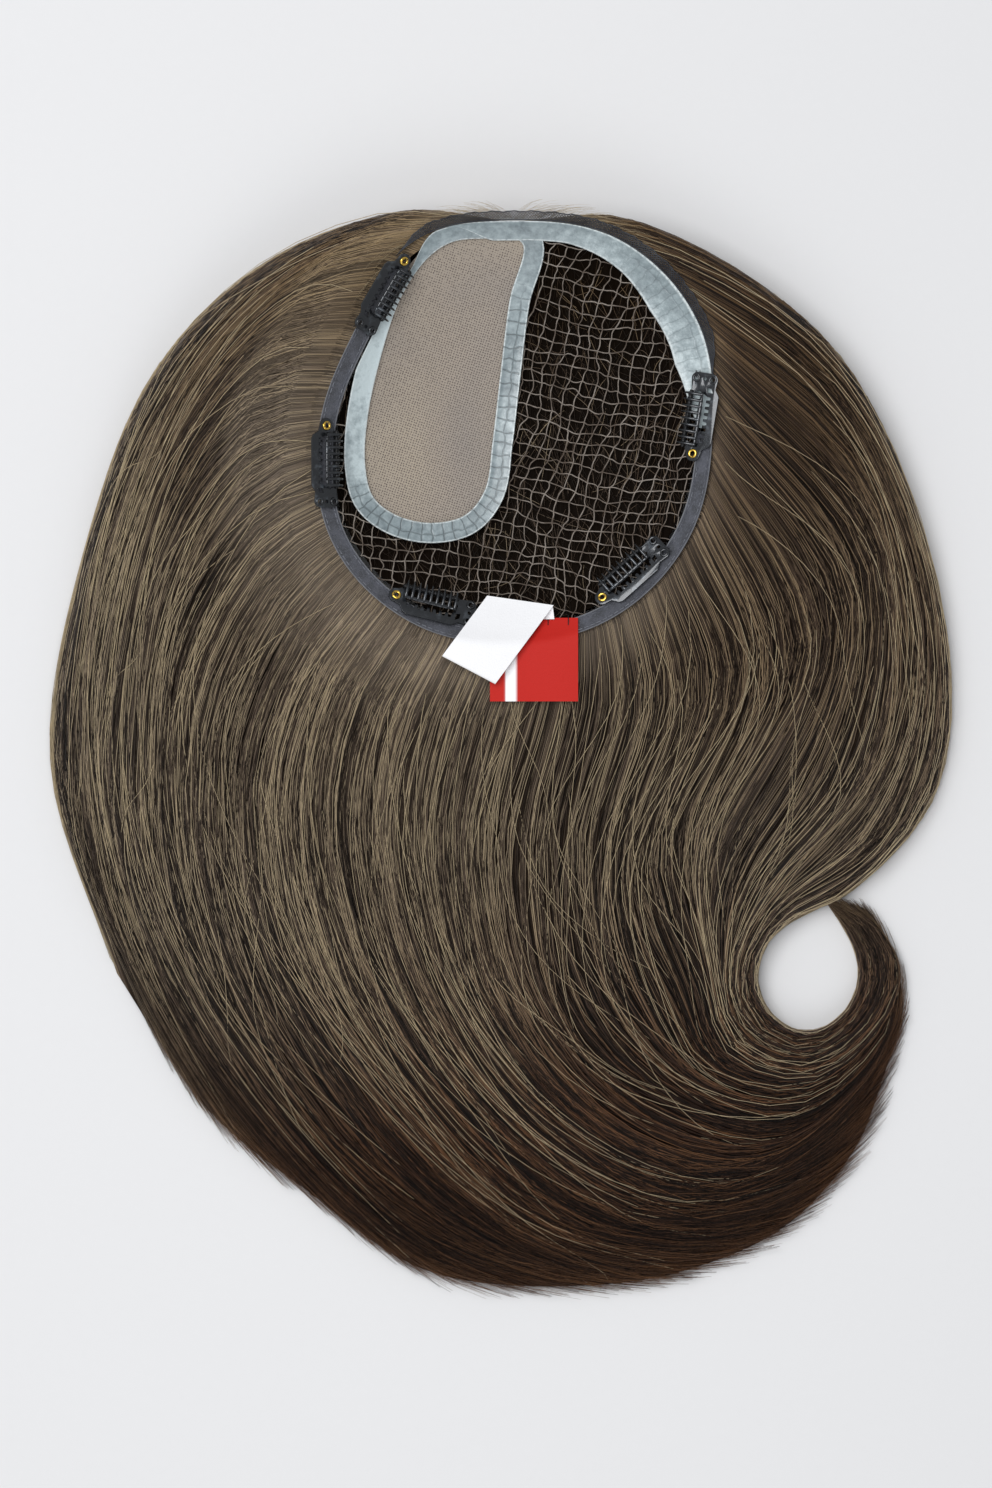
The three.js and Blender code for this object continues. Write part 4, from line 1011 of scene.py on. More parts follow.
class TOPPER_OT_under_hair(Operator):
    """Fill the bowl below the net with dark hair, crossed by loose strands that show in its cells"""

    bl_idname = "topper.under_hair"
    bl_label = "Hair Under the Net"

    def execute(self, context):
        rng = np.random.default_rng(21)
        rings, around = 22, 80
        shares = UNDER_SHARE * np.linspace(0.02, 1, rings)
        bearings = np.linspace(0, 360, around, endpoint=False)
        share, bearing = np.meshgrid(shares, bearings, indexing="ij")
        point = past_edge(bearing, 0) * share[..., None]
        turn = np.radians(bearing)
        ripple = np.sin(point[..., 0] * 0.9 + point[..., 1] * 0.5) * np.sin(point[..., 1] * 1.1 - 2 * turn)
        top = bowl(point) - 1.7 + 0.4 * ripple
        upper, lower = (np.dstack([point, z]) for z in (top, np.full_like(top, UNDERSIDE)))
        rings_of_points = np.concatenate([upper, lower[::-1]])
        points, faces = loft(rings_of_points)
        shade = np.full(len(points), -0.25)
        values = {"shade": shade, "along": np.full(len(points), 0.3)}
        uv = points[:, :2] / 150 + 0.5
        mass = hair_finish("under_hair_mass", 0.03, streaks=True)
        bed = add_piece("under_hair_bed", points, faces, mass, "root",
                        values, uv, "Strands", sharp=60)
        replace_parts(bed, "hair_under")
        count, steps = 1350, 5
        where = past_edge(rng.random(count) * 360, 0) * (np.sqrt(rng.random(count)) * 0.88)[:, None]
        lean = np.radians(np.where(rng.random(count) < 0.6, 118, 75) + 22 * rng.standard_normal(count))
        size = 6 + 16 * rng.random(count)
        t = np.linspace(-0.5, 0.5, steps + 1)
        curve = (rng.random(count) - 0.5)[:, None] * 3.5 * np.cos(np.pi * t)
        ahead = np.stack([np.cos(lean), np.sin(lean)], -1)
        run = size[:, None] * t
        paths = where[:, None] + ahead[:, None] * run[..., None] + aside(ahead)[:, None] * curve[..., None]
        bearing, share = from_edge(paths)
        over = np.maximum(share / 0.9, 1)
        paths = paths / over[..., None]
        z = bowl(paths) - 1.35 + 0.85 * rng.random(count)[:, None] * np.cos(np.pi * t)
        tone = 0.06 + 0.8 * rng.random(count) ** 1.9
        width = (0.5 + 0.4 * rng.random(count))[:, None] * np.ones(steps + 1)
        v = np.full((count, steps + 1), 0.45)
        loose = hair_finish("under_hair_strand", 0.15)
        lay_strands("under_hair_strands", np.dstack([paths, z]), v, tone, width, loose)
        return {"FINISHED"}


# Base

def trim_width(bearing):
    """How far in from the edge the tape or the front band reaches at a bearing."""
    turned = np.asarray(bearing) % 360
    band = np.interp(turned, BAND_WIDTHS[:, 0], BAND_WIDTHS[:, 1])
    return np.where((turned > BAND_END) & (turned < TAPE_START), band, TAPE_WIDTH)


def patch_path(count):
    """The visible gauze's outline as an evenly sampled closed curve, with its outward normals."""
    places = PATCH_OUTLINE * [PATCH_WIDTH, PATCH_LENGTH] + [PATCH_RIGHT, PATCH_FORWARD]
    turns = len(places)
    path = smooth_path(np.concatenate([places] * 3), 24)[24 * turns: 24 * turns * 2 + 1]
    run = path_run(path)
    at = np.linspace(0, run[-1], count, endpoint=False)
    points = along_path(path, at)
    ahead = unit(np.roll(points, -1, axis=0) - np.roll(points, 1, axis=0))
    return points, aside(ahead)


def let_out(points, normals, margin, inset=0.0):
    """The patch's outline let out by a margin, and kept inside the edge by an inset."""
    moved = points + normals * margin
    _, share = from_edge(moved)
    most = 1 - inset / HALF_WIDTH
    return moved * np.minimum(1, most / share)[..., None]


def inside(outline, points):
    """Whether plan points lie inside a closed outline, by counting the sides that a ray crosses."""
    a, b = outline, np.roll(outline, -1, axis=0)
    x, y = points[..., 0, None], points[..., 1, None]
    crosses = (a[:, 1] > y) != (b[:, 1] > y)
    rise = np.where(a[:, 1] == b[:, 1], 1e-9, b[:, 1] - a[:, 1])
    reach = a[:, 0] + (y - a[:, 1]) * (b[:, 0] - a[:, 0]) / rise
    return (crosses & (x < reach)).sum(-1) % 2 == 1


class TOPPER_OT_net(Operator):
    """Knot the net: two families of threads that meet in knots, with a little slack in each"""

    bl_idname = "topper.net"
    bl_label = "Knotted Net"

    def execute(self, context):
        sizes, looks = context.scene.topper_sizes, context.scene.topper_colours
        rng = np.random.default_rng(33)
        cell = sizes.net_cell / MM
        reach = int(HALF_LENGTH / cell) + 6
        i, j = np.meshgrid(np.arange(-reach, reach + 1), np.arange(-reach, reach + 1), indexing="ij")
        across = np.array([math.cos(math.radians(-9)), math.sin(math.radians(-9))])
        along = np.array([math.sin(math.radians(15)), math.cos(math.radians(15))])
        knots = i[..., None] * cell * across + j[..., None] * cell * along
        pull = np.stack([
            np.sin(knots[..., 1] * 0.09 + 1.0) * 1.5 + np.sin(knots[..., 0] * 0.21 + knots[..., 1] * 0.13),
            np.sin(knots[..., 0] * 0.08 + 2.0) * 1.5 + np.sin(knots[..., 1] * 0.19 - knots[..., 0] * 0.11),
        ], -1)
        knots = knots + pull * 0.8 + rng.standard_normal(knots.shape) * 0.38
        outline, normals = patch_path(160)
        hole = let_out(outline, normals, BORDER_WIDTH - NET_TUCK)
        bearing, share = from_edge(knots)
        edge = np.linalg.norm(past_edge(bearing, 0), axis=-1)
        depth = edge * (1 - share) - trim_width(bearing)
        shown = (depth > -NET_TUCK - 0.8) & (share < 1) & ~inside(hole, knots)
        index = np.arange(knots.shape[0] * knots.shape[1]).reshape(knots.shape[:2])
        pairs = np.concatenate([
            np.stack([index[:-1].ravel(), index[1:].ravel()], -1),
            np.stack([index[:, :-1].ravel(), index[:, 1:].ravel()], -1),
        ])
        flat, seen = knots.reshape(-1, 2), shown.ravel()
        pairs = pairs[seen[pairs].all(1)]
        a, b = flat[pairs[:, 0]], flat[pairs[:, 1]]
        t = np.linspace(0, 1, 5)
        side = aside(b - a) / cell
        slack = (rng.standard_normal(len(a)) * 0.28)[:, None] * np.sin(np.pi * t)
        slack = slack + (rng.standard_normal(len(a)) * 0.12)[:, None] * np.sin(2 * np.pi * t)
        paths = a[:, None] + (b - a)[:, None] * t[:, None] + side[:, None] * slack[..., None]
        lift = 0.55 + 0.2 * rng.random(len(a))[:, None] * np.sin(np.pi * t)
        paths = np.dstack([paths, bowl(paths) + lift])
        half = sizes.net_thread / MM / 2 * (0.85 + 0.3 * rng.random((len(a), 1))) * np.ones(5)
        threads = tubes(paths, half, half, sides=4)
        where = flat[seen]
        blobs = knot_blobs(where, bowl(where) + 0.6, sizes.net_thread / MM * 0.78, rng)
        points, faces = joined([threads, blobs])
        material = thread_finish("net_thread", looks.net, looks.net_dark)
        net = add_piece("knotted_net", points, faces, material, "root")
        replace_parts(net, "net")
        return {"FINISHED"}


def knot_blobs(places, heights, radius, rng):
    """A small lumpy knot at each place: a six-cornered star of eight faces, each its own size."""
    corners = np.array([[1, 0, 0], [0, 1, 0], [-1, 0, 0], [0, -1, 0], [0, 0, 1], [0, 0, -1]], float)
    upper = [[0, 1, 4], [1, 2, 4], [2, 3, 4], [3, 0, 4]]
    faces = np.array(upper + [[b, a, 5] for a, b, _ in upper])
    scale = radius * (0.8 + 0.4 * rng.random((len(places), 6, 1)))
    turn = rng.random(len(places)) * np.pi
    cos, sin = np.cos(turn)[:, None], np.sin(turn)[:, None]
    shape = corners[None] * scale
    x = shape[..., 0] * cos - shape[..., 1] * sin
    y = shape[..., 0] * sin + shape[..., 1] * cos
    points = np.stack([x + places[:, :1], y + places[:, 1:], shape[..., 2] * 0.8 + heights[:, None]], -1)
    offsets = np.arange(len(places))[:, None, None] * 6
    return points.reshape(-1, 3), [(faces[None] + offsets).reshape(-1, 3)]


class TOPPER_OT_patch(Operator):
    """Lay the silk gauze patch, tucked under its border and a little puckered"""

    bl_idname = "topper.patch"
    bl_label = "Silk Patch"

    def execute(self, context):
        count = 128
        outline, normals = patch_path(count)
        rim = let_out(outline, normals, PATCH_TUCK, HAIR_TUCK + GAP)
        middle = np.array([PATCH_RIGHT, PATCH_FORWARD])
        share = np.sin(np.linspace(0.02, 1, 20) * np.pi / 2)
        plan = middle + (rim - middle)[None] * share[:, None, None]
        pucker = 0.12 * np.sin(plan[..., 0] * 0.45 + 1) * np.sin(plan[..., 1] * 0.27)
        pucker = pucker * (1 - share[:, None] ** 4)
        low, high = 0.35, 0.85
        upper = np.dstack([plan, bowl(plan) + high + pucker])
        lower = np.dstack([plan, bowl(plan) + low + pucker])
        points, faces = loft(np.concatenate([upper, lower[::-1]]))
        patch = add_piece("silk_gauze_patch", points, faces, silk_finish(), "root", sharp=60)
        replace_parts(patch, "silk_patch")
        return {"FINISHED"}


def strip_rings(places, inward, half, profile):
    """Rings of a strip whose section is a closed list of (share across, height), laid on the bowl
    along plan places, with a way inward and half a width at each."""
    middle = places + inward * half[:, None]
    across = middle[:, None] + inward[:, None] * (profile[None, :, :1] * half[:, None, None])
    return np.dstack([across, bowl(across) + profile[None, :, 1]])


def strip_profile(bottom, top, lip, bevel=0.94):
    """Section of a flat strip: level below, with a raised lip along both sides above."""
    shoulder, ridge = mix(bottom, top, 0.7), top + lip
    half = [(0.36, top), (0.72, top), (0.82, ridge), (bevel, ridge), (1, shoulder)]
    upper = [(-across, height) for across, height in half[::-1]] + [(0, top)] + half
    lower = [(0.98, bottom), (0, bottom), (-0.98, bottom)]
    return np.array(upper + lower)


def add_strip(name, places, inward, half, profile, material, slot, closed=False, **along):
    """A strip as a piece, with a map in millimetres along and across and its edge marked, and
    with further values given for each place along it."""
    rings = strip_rings(places, inward, half, profile)
    points, faces = loft(rings, closed)
    run = path_run(np.concatenate([places, places[:1]]) if closed else places)[: len(places)]
    across = np.abs(profile[:, 0])
    values = {"edge": np.tile(smooth((across - 0.84) / 0.1), len(places))}
    values.update({key: np.repeat(value, len(profile)) for key, value in along.items()})
    uv = np.stack(np.broadcast_arrays(run[:, None], (profile[None, :, 0] + 1) * half[:, None]), -1)
    return add_piece(name, points, faces, material, "root", values, uv, "Strip", sharp=50)


def edge_places(start, end, outer, count):
    """Plan places along the edge, a distance past it, with the way inward at each."""
    bearing = np.linspace(start, end, count)
    places = past_edge(bearing, outer)
    inward = aside(unit(np.gradient(places, axis=0)))
    inward *= -np.sign(np.sum(inward * places, axis=1, keepdims=True))
    return bearing, places, inward


class TOPPER_OT_skin(Operator):
    """Lay the clear skin: the border round the patch, and the band along the front"""

    bl_idname = "topper.skin"
    bl_label = "Clear Skin"

    def execute(self, context):
        material = skin_finish()
        outline, normals = patch_path(220)
        bearing, _ = from_edge(outline)
        turned = bearing % 360
        inset = (TAPE_WIDTH + 3 * GAP) * smooth((turned - TAPE_START + 16) / 12)
        outer = let_out(outline, normals, BORDER_WIDTH, inset)
        inner = let_out(outline, normals, -0.2)
        width = np.linalg.norm(inner - outer, axis=1)
        inward = (inner - outer) / np.maximum(width, 0.4)[:, None]
        lengthwise = (outline[:, 1] - PATCH_FORWARD) / PATCH_LENGTH
        right = smooth((outline[:, 0] - PATCH_RIGHT + 12) / 14)
        bottom = smooth((-0.3 - lengthwise) / 0.12)
        netted = np.maximum(right * smooth((0.42 - lengthwise) / 0.2), bottom)
        cloudy = smooth((PATCH_RIGHT - 6 - outline[:, 0]) / 14) * smooth((lengthwise + 0.5) / 0.25)
        profile = strip_profile(TRIM_LIFT - 0.45, TRIM_LIFT + 0.4, 0.12)
        border = add_strip("skin_patch_border", outer, inward, width / 2, profile, material, "skin", True,
                           netted=netted, cloudy=cloudy)
        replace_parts(border, "skin_border")
        bearing, places, inward = edge_places(BAND_START + 14, BAND_END, 0, 130)
        half = np.interp(bearing, BAND_WIDTHS[:, 0], BAND_WIDTHS[:, 1]) / 2
        half = np.maximum(half * smooth((BAND_START + 14 - bearing) / 14), 0.2)
        lifted = profile + [0, 0.14]
        netted = 0.4 * smooth((70 - bearing) / 25) * smooth((bearing - 8) / 12)
        cloudy = 0.25 + 0.35 * smooth((30 - bearing) / 14)
        add_strip("skin_front_band", places, inward, half, lifted, material, "skin",
                  netted=netted, cloudy=cloudy)
        return {"FINISHED"}


class TOPPER_OT_trims(Operator):
    """Run the woven tape round the sides and back with its stitches, and the lace round the front"""

    bl_idname = "topper.trims"
    bl_label = "Tape and Lace"

    def execute(self, context):
        looks = context.scene.topper_colours
        _, places, inward = edge_places(TAPE_START, TAPE_END, 0, 260)
        half = np.full(260, TAPE_WIDTH / 2)
        top = TRIM_LIFT + TAPE_THICKNESS
        profile = strip_profile(TRIM_LIFT - 0.2, top - 0.3, 0.18)
        tape = add_strip("woven_edge_tape", places, inward, half, profile, tape_finish(), "tape")
        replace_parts(tape, "edge_tape")
        thread = thread_finish("seam_thread", looks.tape_light, looks.tape, 0.6)
        insets = (1.05, TAPE_WIDTH - 1.05)
        points, faces = joined([seam(places + inward * inset, top - 0.2) for inset in insets])
        add_piece("tape_stitches", points, faces, thread, "root")
        lace = thread_finish("lace_thread", looks.lace, looks.tape_dark, 0.7)
        points, faces = lace_body(context.scene.topper_sizes)
        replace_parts(add_piece("fine_lace_edge", points, faces, lace, "root"), "lace_edge")
        return {"FINISHED"}


def lace_body(sizes):
    """The lace: two families of threads that cross the strip aslant, and a cord along each side.
    The strip narrows at both ends by a smooth step, and its outer side waves a little."""
    bearing, places, inward = edge_places(LACE_START, LACE_END, GAP, 400)
    run = path_run(places)
    frame_rows = np.column_stack([places, inward, bearing])

    def laid(at, share, height):
        """Points at a distance along the strip and a share of its width out from its inner side."""
        row = np.stack([np.interp(at, run, column) for column in frame_rows.T], -1)
        narrow = smooth((LACE_START - row[..., 4]) / 12) * smooth((row[..., 4] - LACE_END) / 12)
        wave = 1 + 0.06 * np.sin(at * 0.9) + 0.04 * np.sin(at * 2.3)
        plan = row[..., :2] - row[..., 2:4] * (share * LACE_WIDTH * narrow * wave)[..., None]
        return np.dstack([plan, bowl(plan) + TRIM_LIFT + height])

    cell, half = sizes.lace_cell / MM, sizes.lace_thread / MM / 2
    share = np.linspace(0, 1, 5)
    start = np.arange(int(run[-1] / cell) - 3)[:, None] * cell
    rows = [laid(*np.broadcast_arrays(start + way * share * LACE_WIDTH + side, share), 0.4 + level)
            for way, side, level in ((1, 0, 0.05), (-1, LACE_WIDTH, -0.05))]
    threads = np.concatenate(rows)
    bodies = [tubes(threads, *[np.full(threads.shape[:2], half)] * 2, sides=4)]
    for side in (0, 1):
        cord = laid(*np.broadcast_arrays(np.linspace(0, run[-1], 220)[None], float(side)), 0.4)
        bodies.append(tubes(cord, *[np.full(cord.shape[:2], half * 1.2)] * 2, sides=4))
    return joined(bodies)


def joined(bodies):
    """One body of several, each its points and its faces as index arrays."""
    offsets = np.cumsum([0] + [len(points) for points, _ in bodies[:-1]])
    faces = [face + offset for (_, group), offset in zip(bodies, offsets) for face in group]
    return np.concatenate([points for points, _ in bodies]), faces


def seam(path, lift):
    """Running stitches along a plan path: each a short closed tube, sunk at both ends."""
    pitch, stitch = 2.3, 1.6
    run = path_run(path)
    count = int(run[-1] / pitch)
    at = (np.arange(count) * pitch)[:, None] + np.linspace(0, stitch, 4)
    plan = along_path(path, at)
    z = bowl(plan) + lift + 0.16 * np.sin(np.pi * np.linspace(0, 1, 4)) - 0.05
    half = np.full(at.shape, 0.17)
    return tubes(np.dstack([plan, z]), half, half * 0.8, sides=4)


# Clips

def clip_frame(place):
    """Origin and directions of a clip in its own frame, from its joint and its mount: along is
    the joint's axis, up the mount's, and the origin lies at the gold eyelet's end."""
    joint = next(j for j in frame["joints"] if j["name"] == f"clip_{place}_snap")
    mount = next(m for m in frame["record"]["mounts"] if m["name"] == f"clip_{place}_face")
    along, up = np.array(joint["axis"]), np.array(mount["axis"])
    inward = np.cross(up, along)
    pivot = (np.array(joint["pos_m"]) - BASE_MIDDLE) / MM
    origin = pivot - along * PIVOT_X - inward * PIVOT_Y - up * PIVOT_Z
    return origin, np.array([along, inward, up])


def clip_place(points, place):
    """Points of a clip's own frame, set in the base's."""
    origin, directions = clip_frame(place)
    return points @ directions + origin


def arc(x, y, radius, start, end, count=10):
    """Points on an arc of a circle, between two angles in degrees."""
    turn = np.radians(np.linspace(start, end, count))
    return np.stack([x + radius * np.cos(turn), y + radius * np.sin(turn)], -1)


def plate_outlines():
    """The stamped plate's outline and its holes, as closed lists of plan points: a round end for
    the gold eyelet, a wide arm notched between the teeth, an inner rail and a tab."""
    half, end, tab = CLIP_WIDTH / 2, CLIP_END_WIDTH / 2, CLIP_TAB_WIDTH / 2
    rail = half * 0.72
    outer = np.concatenate([
        arc(end, 0, end, 90, 270),
        [[ARM_START - 0.6, -end - 0.5], [ARM_START + 0.8, -half + 0.6]],
        arc(ARM_START + 2.4, -half + 1.2, 1.2, -130, -90, 4),
        arc(ARM_END - 1.2, -half + 1.2, 1.2, -90, -50, 4),
        [[ARM_END + 1.4, -tab * 0.92]],
        arc(CLIP_LENGTH - tab * 0.5, -tab * 0.5, tab * 0.5, -80, 0, 8),
        arc(CLIP_LENGTH - tab * 0.5, tab * 0.5, tab * 0.5, 0, 80, 8),
        [[ARM_END + 1.2, tab * 0.88]],
        arc(ARM_END - 0.6, rail - 0.8, 0.8, 50, 90, 4),
        arc(ARM_START + 1.8, rail - 0.8, 0.8, 90, 140, 4),
    ])
    x = np.linspace(ARM_START + 2, ARM_END - 1.2, 12 * COMB_TEETH)
    pitch = (ARM_END - ARM_START - 1.7) / (COMB_TEETH - 1)
    notch = smooth(0.5 + 2.2 * np.cos(2 * np.pi * (x - ARM_START - 0.85) / pitch + np.pi))
    arm = np.stack([x, -1.75 - 1.5 * notch], -1)
    inner = np.array([[ARM_END + 0.4, 1.4], [ARM_END - 1.0, rail - 1.2], [ARM_START + 2, rail - 1.2],
                      [ARM_START + 1.0, 0.6]])
    window = np.concatenate([arm, inner])
    holes = [window, arc(end, 0, 0.95, 0, 342, 18)]
    holes += [arc(CLIP_LENGTH - EYELET_INSET, y * tab, radius, 0, 342, 18)
              for y, radius in ((-TAB_HOLE, 0.8), (0, 0.6), (TAB_HOLE, 0.8))]
    slot = np.array([[0.1, -3.9], [1.6, -3.0], [1.7, -1.2], [0.2, -1.6]])
    holes.append(slot + [ARM_END, 0])
    return [outer, *holes]


def stamped(name, outlines, thickness, bevel, place, material, body):
    """A flat piece cut from sheet: its outlines filled, thickened and bevelled, set in a clip."""
    curve = bpy.data.curves.new(name, "CURVE")
    curve.dimensions = "2D"
    curve.fill_mode = "BOTH"
    curve.extrude = thickness / 2 - bevel
    curve.bevel_depth = bevel
    curve.bevel_resolution = 1
    curve.offset = -bevel
    for outline in outlines:
        spline = curve.splines.new("POLY")
        spline.points.add(len(outline) - 1)
        flat = np.column_stack([outline, np.zeros(len(outline)), np.ones(len(outline))])
        spline.points.foreach_set("co", flat.ravel())
        spline.use_cyclic_u = True
    maker = bpy.data.objects.new(name, curve)
    bpy.context.scene.collection.objects.link(maker)
    bpy.context.view_layer.update()
    shape = bpy.data.meshes.new_from_object(maker)
    bpy.data.objects.remove(maker)
    points = np.zeros(len(shape.vertices) * 3)
    shape.vertices.foreach_get("co", points)
    points = points.reshape(-1, 3) + [0, 0, thickness / 2]
    points = clip_place(points, place) * MM + BASE_MIDDLE
    shape.vertices.foreach_set("co", points.ravel())
    merge_doubles(shape)
    shape.materials.clear()
    shape.materials.append(material)
    shape.name = name
    shape.set_sharp_from_angle(angle=math.radians(35))
    piece = bpy.data.objects.new(name, shape)
    bpy.context.scene.collection.objects.link(piece)
    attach(piece, body)
    return piece


def merge_doubles(mesh):
    """Joins points that lie on each other, then turns the faces of the closed shell outwards."""
    work = bmesh.new()
    work.from_mesh(mesh)
    bmesh.ops.remove_doubles(work, verts=work.verts, dist=1e-6)
    bmesh.ops.recalc_face_normals(work, faces=work.faces)
    work.to_mesh(mesh)
    work.free()
    mesh.update()


def ring_body(middle, radius, thick, height, sides=28, around=10):
    """A flattened ring: an ellipse, thick across and high, carried round a circle."""
    turn = np.linspace(0, 2 * np.pi, sides, endpoint=False)[:, None]
    lap = np.linspace(0, 2 * np.pi, around, endpoint=False)[None]
    reach = radius + thick * np.cos(lap)
    x, y = reach * np.cos(turn), reach * np.sin(turn)
    z = height * np.sin(lap) * np.ones_like(turn)
    return loft(np.dstack([x, y, z]) + np.asarray(middle, float), closed=True)


def comb_body():
    """The comb: a flattened bar on the pivot, and teeth that arch over the grip tube and taper to
    rounded tips. A tooth's path is a quarter sine up, then a droop by the square of its share."""
    length_x = ARM_END - ARM_START
    bar = np.stack([np.linspace(ARM_START, ARM_END, 8), np.full(8, PIVOT_Y), np.full(8, PIVOT_Z)], -1)[None]
    end = np.array([0.55, 0.8, 1, 1, 1, 1, 0.8, 0.55])[None]
    bar_body = tubes(bar, 0.82 * end, 0.55 * end, sides=8)
    pitch = (length_x - 1.7) / (COMB_TEETH - 1)
    x = ARM_START + 0.85 + np.arange(COMB_TEETH) * pitch
    t = np.linspace(0, 1, 10)
    y = PIVOT_Y - 0.5 + 6.9 * t
    z = PIVOT_Z + 1.55 * np.sin(np.pi * t * 0.72) - 0.75 * t**2
    paths = np.stack(np.broadcast_arrays(x[:, None], y[None], z[None]), -1)
    half = np.broadcast_to(mix(0.62, 0.3, t**1.3), (COMB_TEETH, 10)).copy()
    half[:, -1] *= 0.45
    return joined([bar_body, tubes(paths, half, half * 0.72, sides=7)])


def grip_body():
    """The grip tube: a soft tube with shallow swells, closed at both ends."""
    count = 30
    x = np.linspace(ARM_START - 0.6, ARM_END + 0.3, count)
    path = np.stack([x, np.full(count, GRIP_Y), np.full(count, GRIP_Z)], -1)[None]
    swell = 0.8 + 0.05 * np.sin(np.linspace(0, 18 * np.pi, count))
    swell[[0, -1]] = 0.45
    return tubes(path, swell[None], swell[None], sides=12)


def coil_body():
    """A fine wire wound round the grip tube: a helix with two turns to each tooth."""
    turns = 2 * COMB_TEETH
    count = 8 * turns
    t = np.linspace(0, 1, count)
    angle = 2 * np.pi * turns * t
    x = mix(ARM_START + 0.4, ARM_END - 0.5, t)
    y, z = GRIP_Y + 0.98 * np.cos(angle), GRIP_Z + 0.98 * np.sin(angle)
    path = np.stack([x, y, np.maximum(z, 0.2)], -1)
    ahead = unit(np.gradient(path, axis=0))
    out = np.stack([np.zeros(count), np.cos(angle), np.sin(angle)], -1)
    binormal = np.cross(ahead, out)
    lap = np.linspace(0, 2 * np.pi, 4, endpoint=False)[:, None]
    rings = np.cos(lap) * out[:, None] + np.sin(lap) * binormal[:, None]
    return loft(path[:, None] + 0.17 * rings)


class TOPPER_OT_clips(Operator):
    """Build the five snap clips: plate, swinging comb, grip tube with its wire, and eyelets"""

    bl_idname = "topper.clips"
    bl_label = "Snap Clips"

    def execute(self, context):
        looks = context.scene.topper_colours
        steel = metal_finish("painted_steel", looks.steel, 0.75, 0.3, looks.steel_wear_and_glint)
        gold = metal_finish("gold_plate", looks.gold, 1.0, 0.2, looks.gold)
        rubber = thread_finish("grip_rubber", looks.rubber, looks.rubber, 0.45)
        thread = thread_finish("clip_thread", looks.tape_dark, looks.hair_shadow, 0.7)
        end = CLIP_END_WIDTH / 2
        tab = CLIP_TAB_WIDTH / 2
        face = CLIP_THICKNESS
        for place in CLIP_PLACES:
            name = f"clip_{place}"
            plate = stamped(f"{name}_stamped_plate", plate_outlines(), face, 0.16, place, steel,
                            "root")
            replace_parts(plate, f"{name}_plate")
            eyelet = ring_body((end, 0, face + 0.15), 1.2, 0.48, 0.34)
            for part, body, material, slot, node, group in (
                ("toothed_comb", comb_body(), steel, "clip_metal", "comb", f"{name}_comb"),
                ("grip_tube", grip_body(), rubber, "clip_tube", "tube", "root"),
                ("gold_eyelet", eyelet, gold, "eyelet", "eyelet", "root"),
            ):
                points, faces = body
                piece = add_piece(f"{name}_{part}", clip_place(points, place), faces, material, group)
                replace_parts(piece, f"{name}_{node}")
            points, faces = coil_body()
            add_piece(f"{name}_wire", clip_place(points, place), faces, steel, "root")
            for side, y in (("outer", -TAB_HOLE * tab), ("inner", TAB_HOLE * tab)):
                points, faces = ring_body((CLIP_LENGTH - EYELET_INSET, y, face + 0.12), 1.12, 0.4, 0.3)
                add_piece(f"{name}_{side}_eyelet", clip_place(points, place), faces, steel,
                          "root")
            points, faces = clip_stitches(end, tab, face)
            add_piece(f"{name}_stitches", clip_place(points, place), faces, thread, "root")
        return {"FINISHED"}


def clip_stitches(end, tab, face):
    """Sewing threads through the eyelets: arcs from each hole over its rim to the tape."""
    far, hole = CLIP_LENGTH - EYELET_INSET, TAB_HOLE * tab
    ends = np.array([
        (end, 0, end - 2.6, 1.2), (end, 0, end - 2.6, -1.0),
        (far, hole, far + 2.4, hole + 1), (far, -hole, far + 2.4, -hole - 1),
        (far, hole, far + 2.5, hole - 0.6), (far, -hole, far + 2.5, -hole + 0.6),
    ], float)
    t = np.linspace(0, 1, 8)
    x = mix(ends[:, 0:1], ends[:, 2:3], t)
    y = mix(ends[:, 1:2], ends[:, 3:4], t)
    z = face * 0.4 + (face * 0.6 + 0.65) * np.sin(np.pi * np.minimum(t * 1.25, 1)) - 0.5 * t
    paths = np.stack([x, y, np.broadcast_to(z, x.shape)], -1)
    half = np.full(x.shape, 0.16)
    return tubes(paths, half, half, sides=5)


# Labels

def label_plan(spec, along, across):
    """Plan points of a label: its sewn end on the tape, and from there straight on its heading, with
    one side of each end drawn back by its skew."""
    bearing, inset, heading, width, length_mm, _, sewn_skew, free_skew = spec
    start = past_edge(bearing, -inset)
    turn = math.radians(heading)
    ahead = np.array([math.cos(turn), math.sin(turn)])
    side = aside(ahead)
    side_share = (across + 1) / 2
    run = mix(-sewn_skew * side_share, length_mm - free_skew * side_share, along)
    return start + ahead * run[..., None] + side * (across * width / 2)[..., None]


def label_height(plan, lift):
    """Underside of a label: on the tape, then easing down onto the hair past the edge."""
    _, share = from_edge(plan)
    on_tape = bowl(plan) + TRIM_LIFT + TAPE_THICKNESS
    on_hair = hair_top(plan) + TRIM_LIFT + TAPE_THICKNESS
    return mix(on_tape, on_hair, smooth((share - 0.92) / 0.16)) + lift


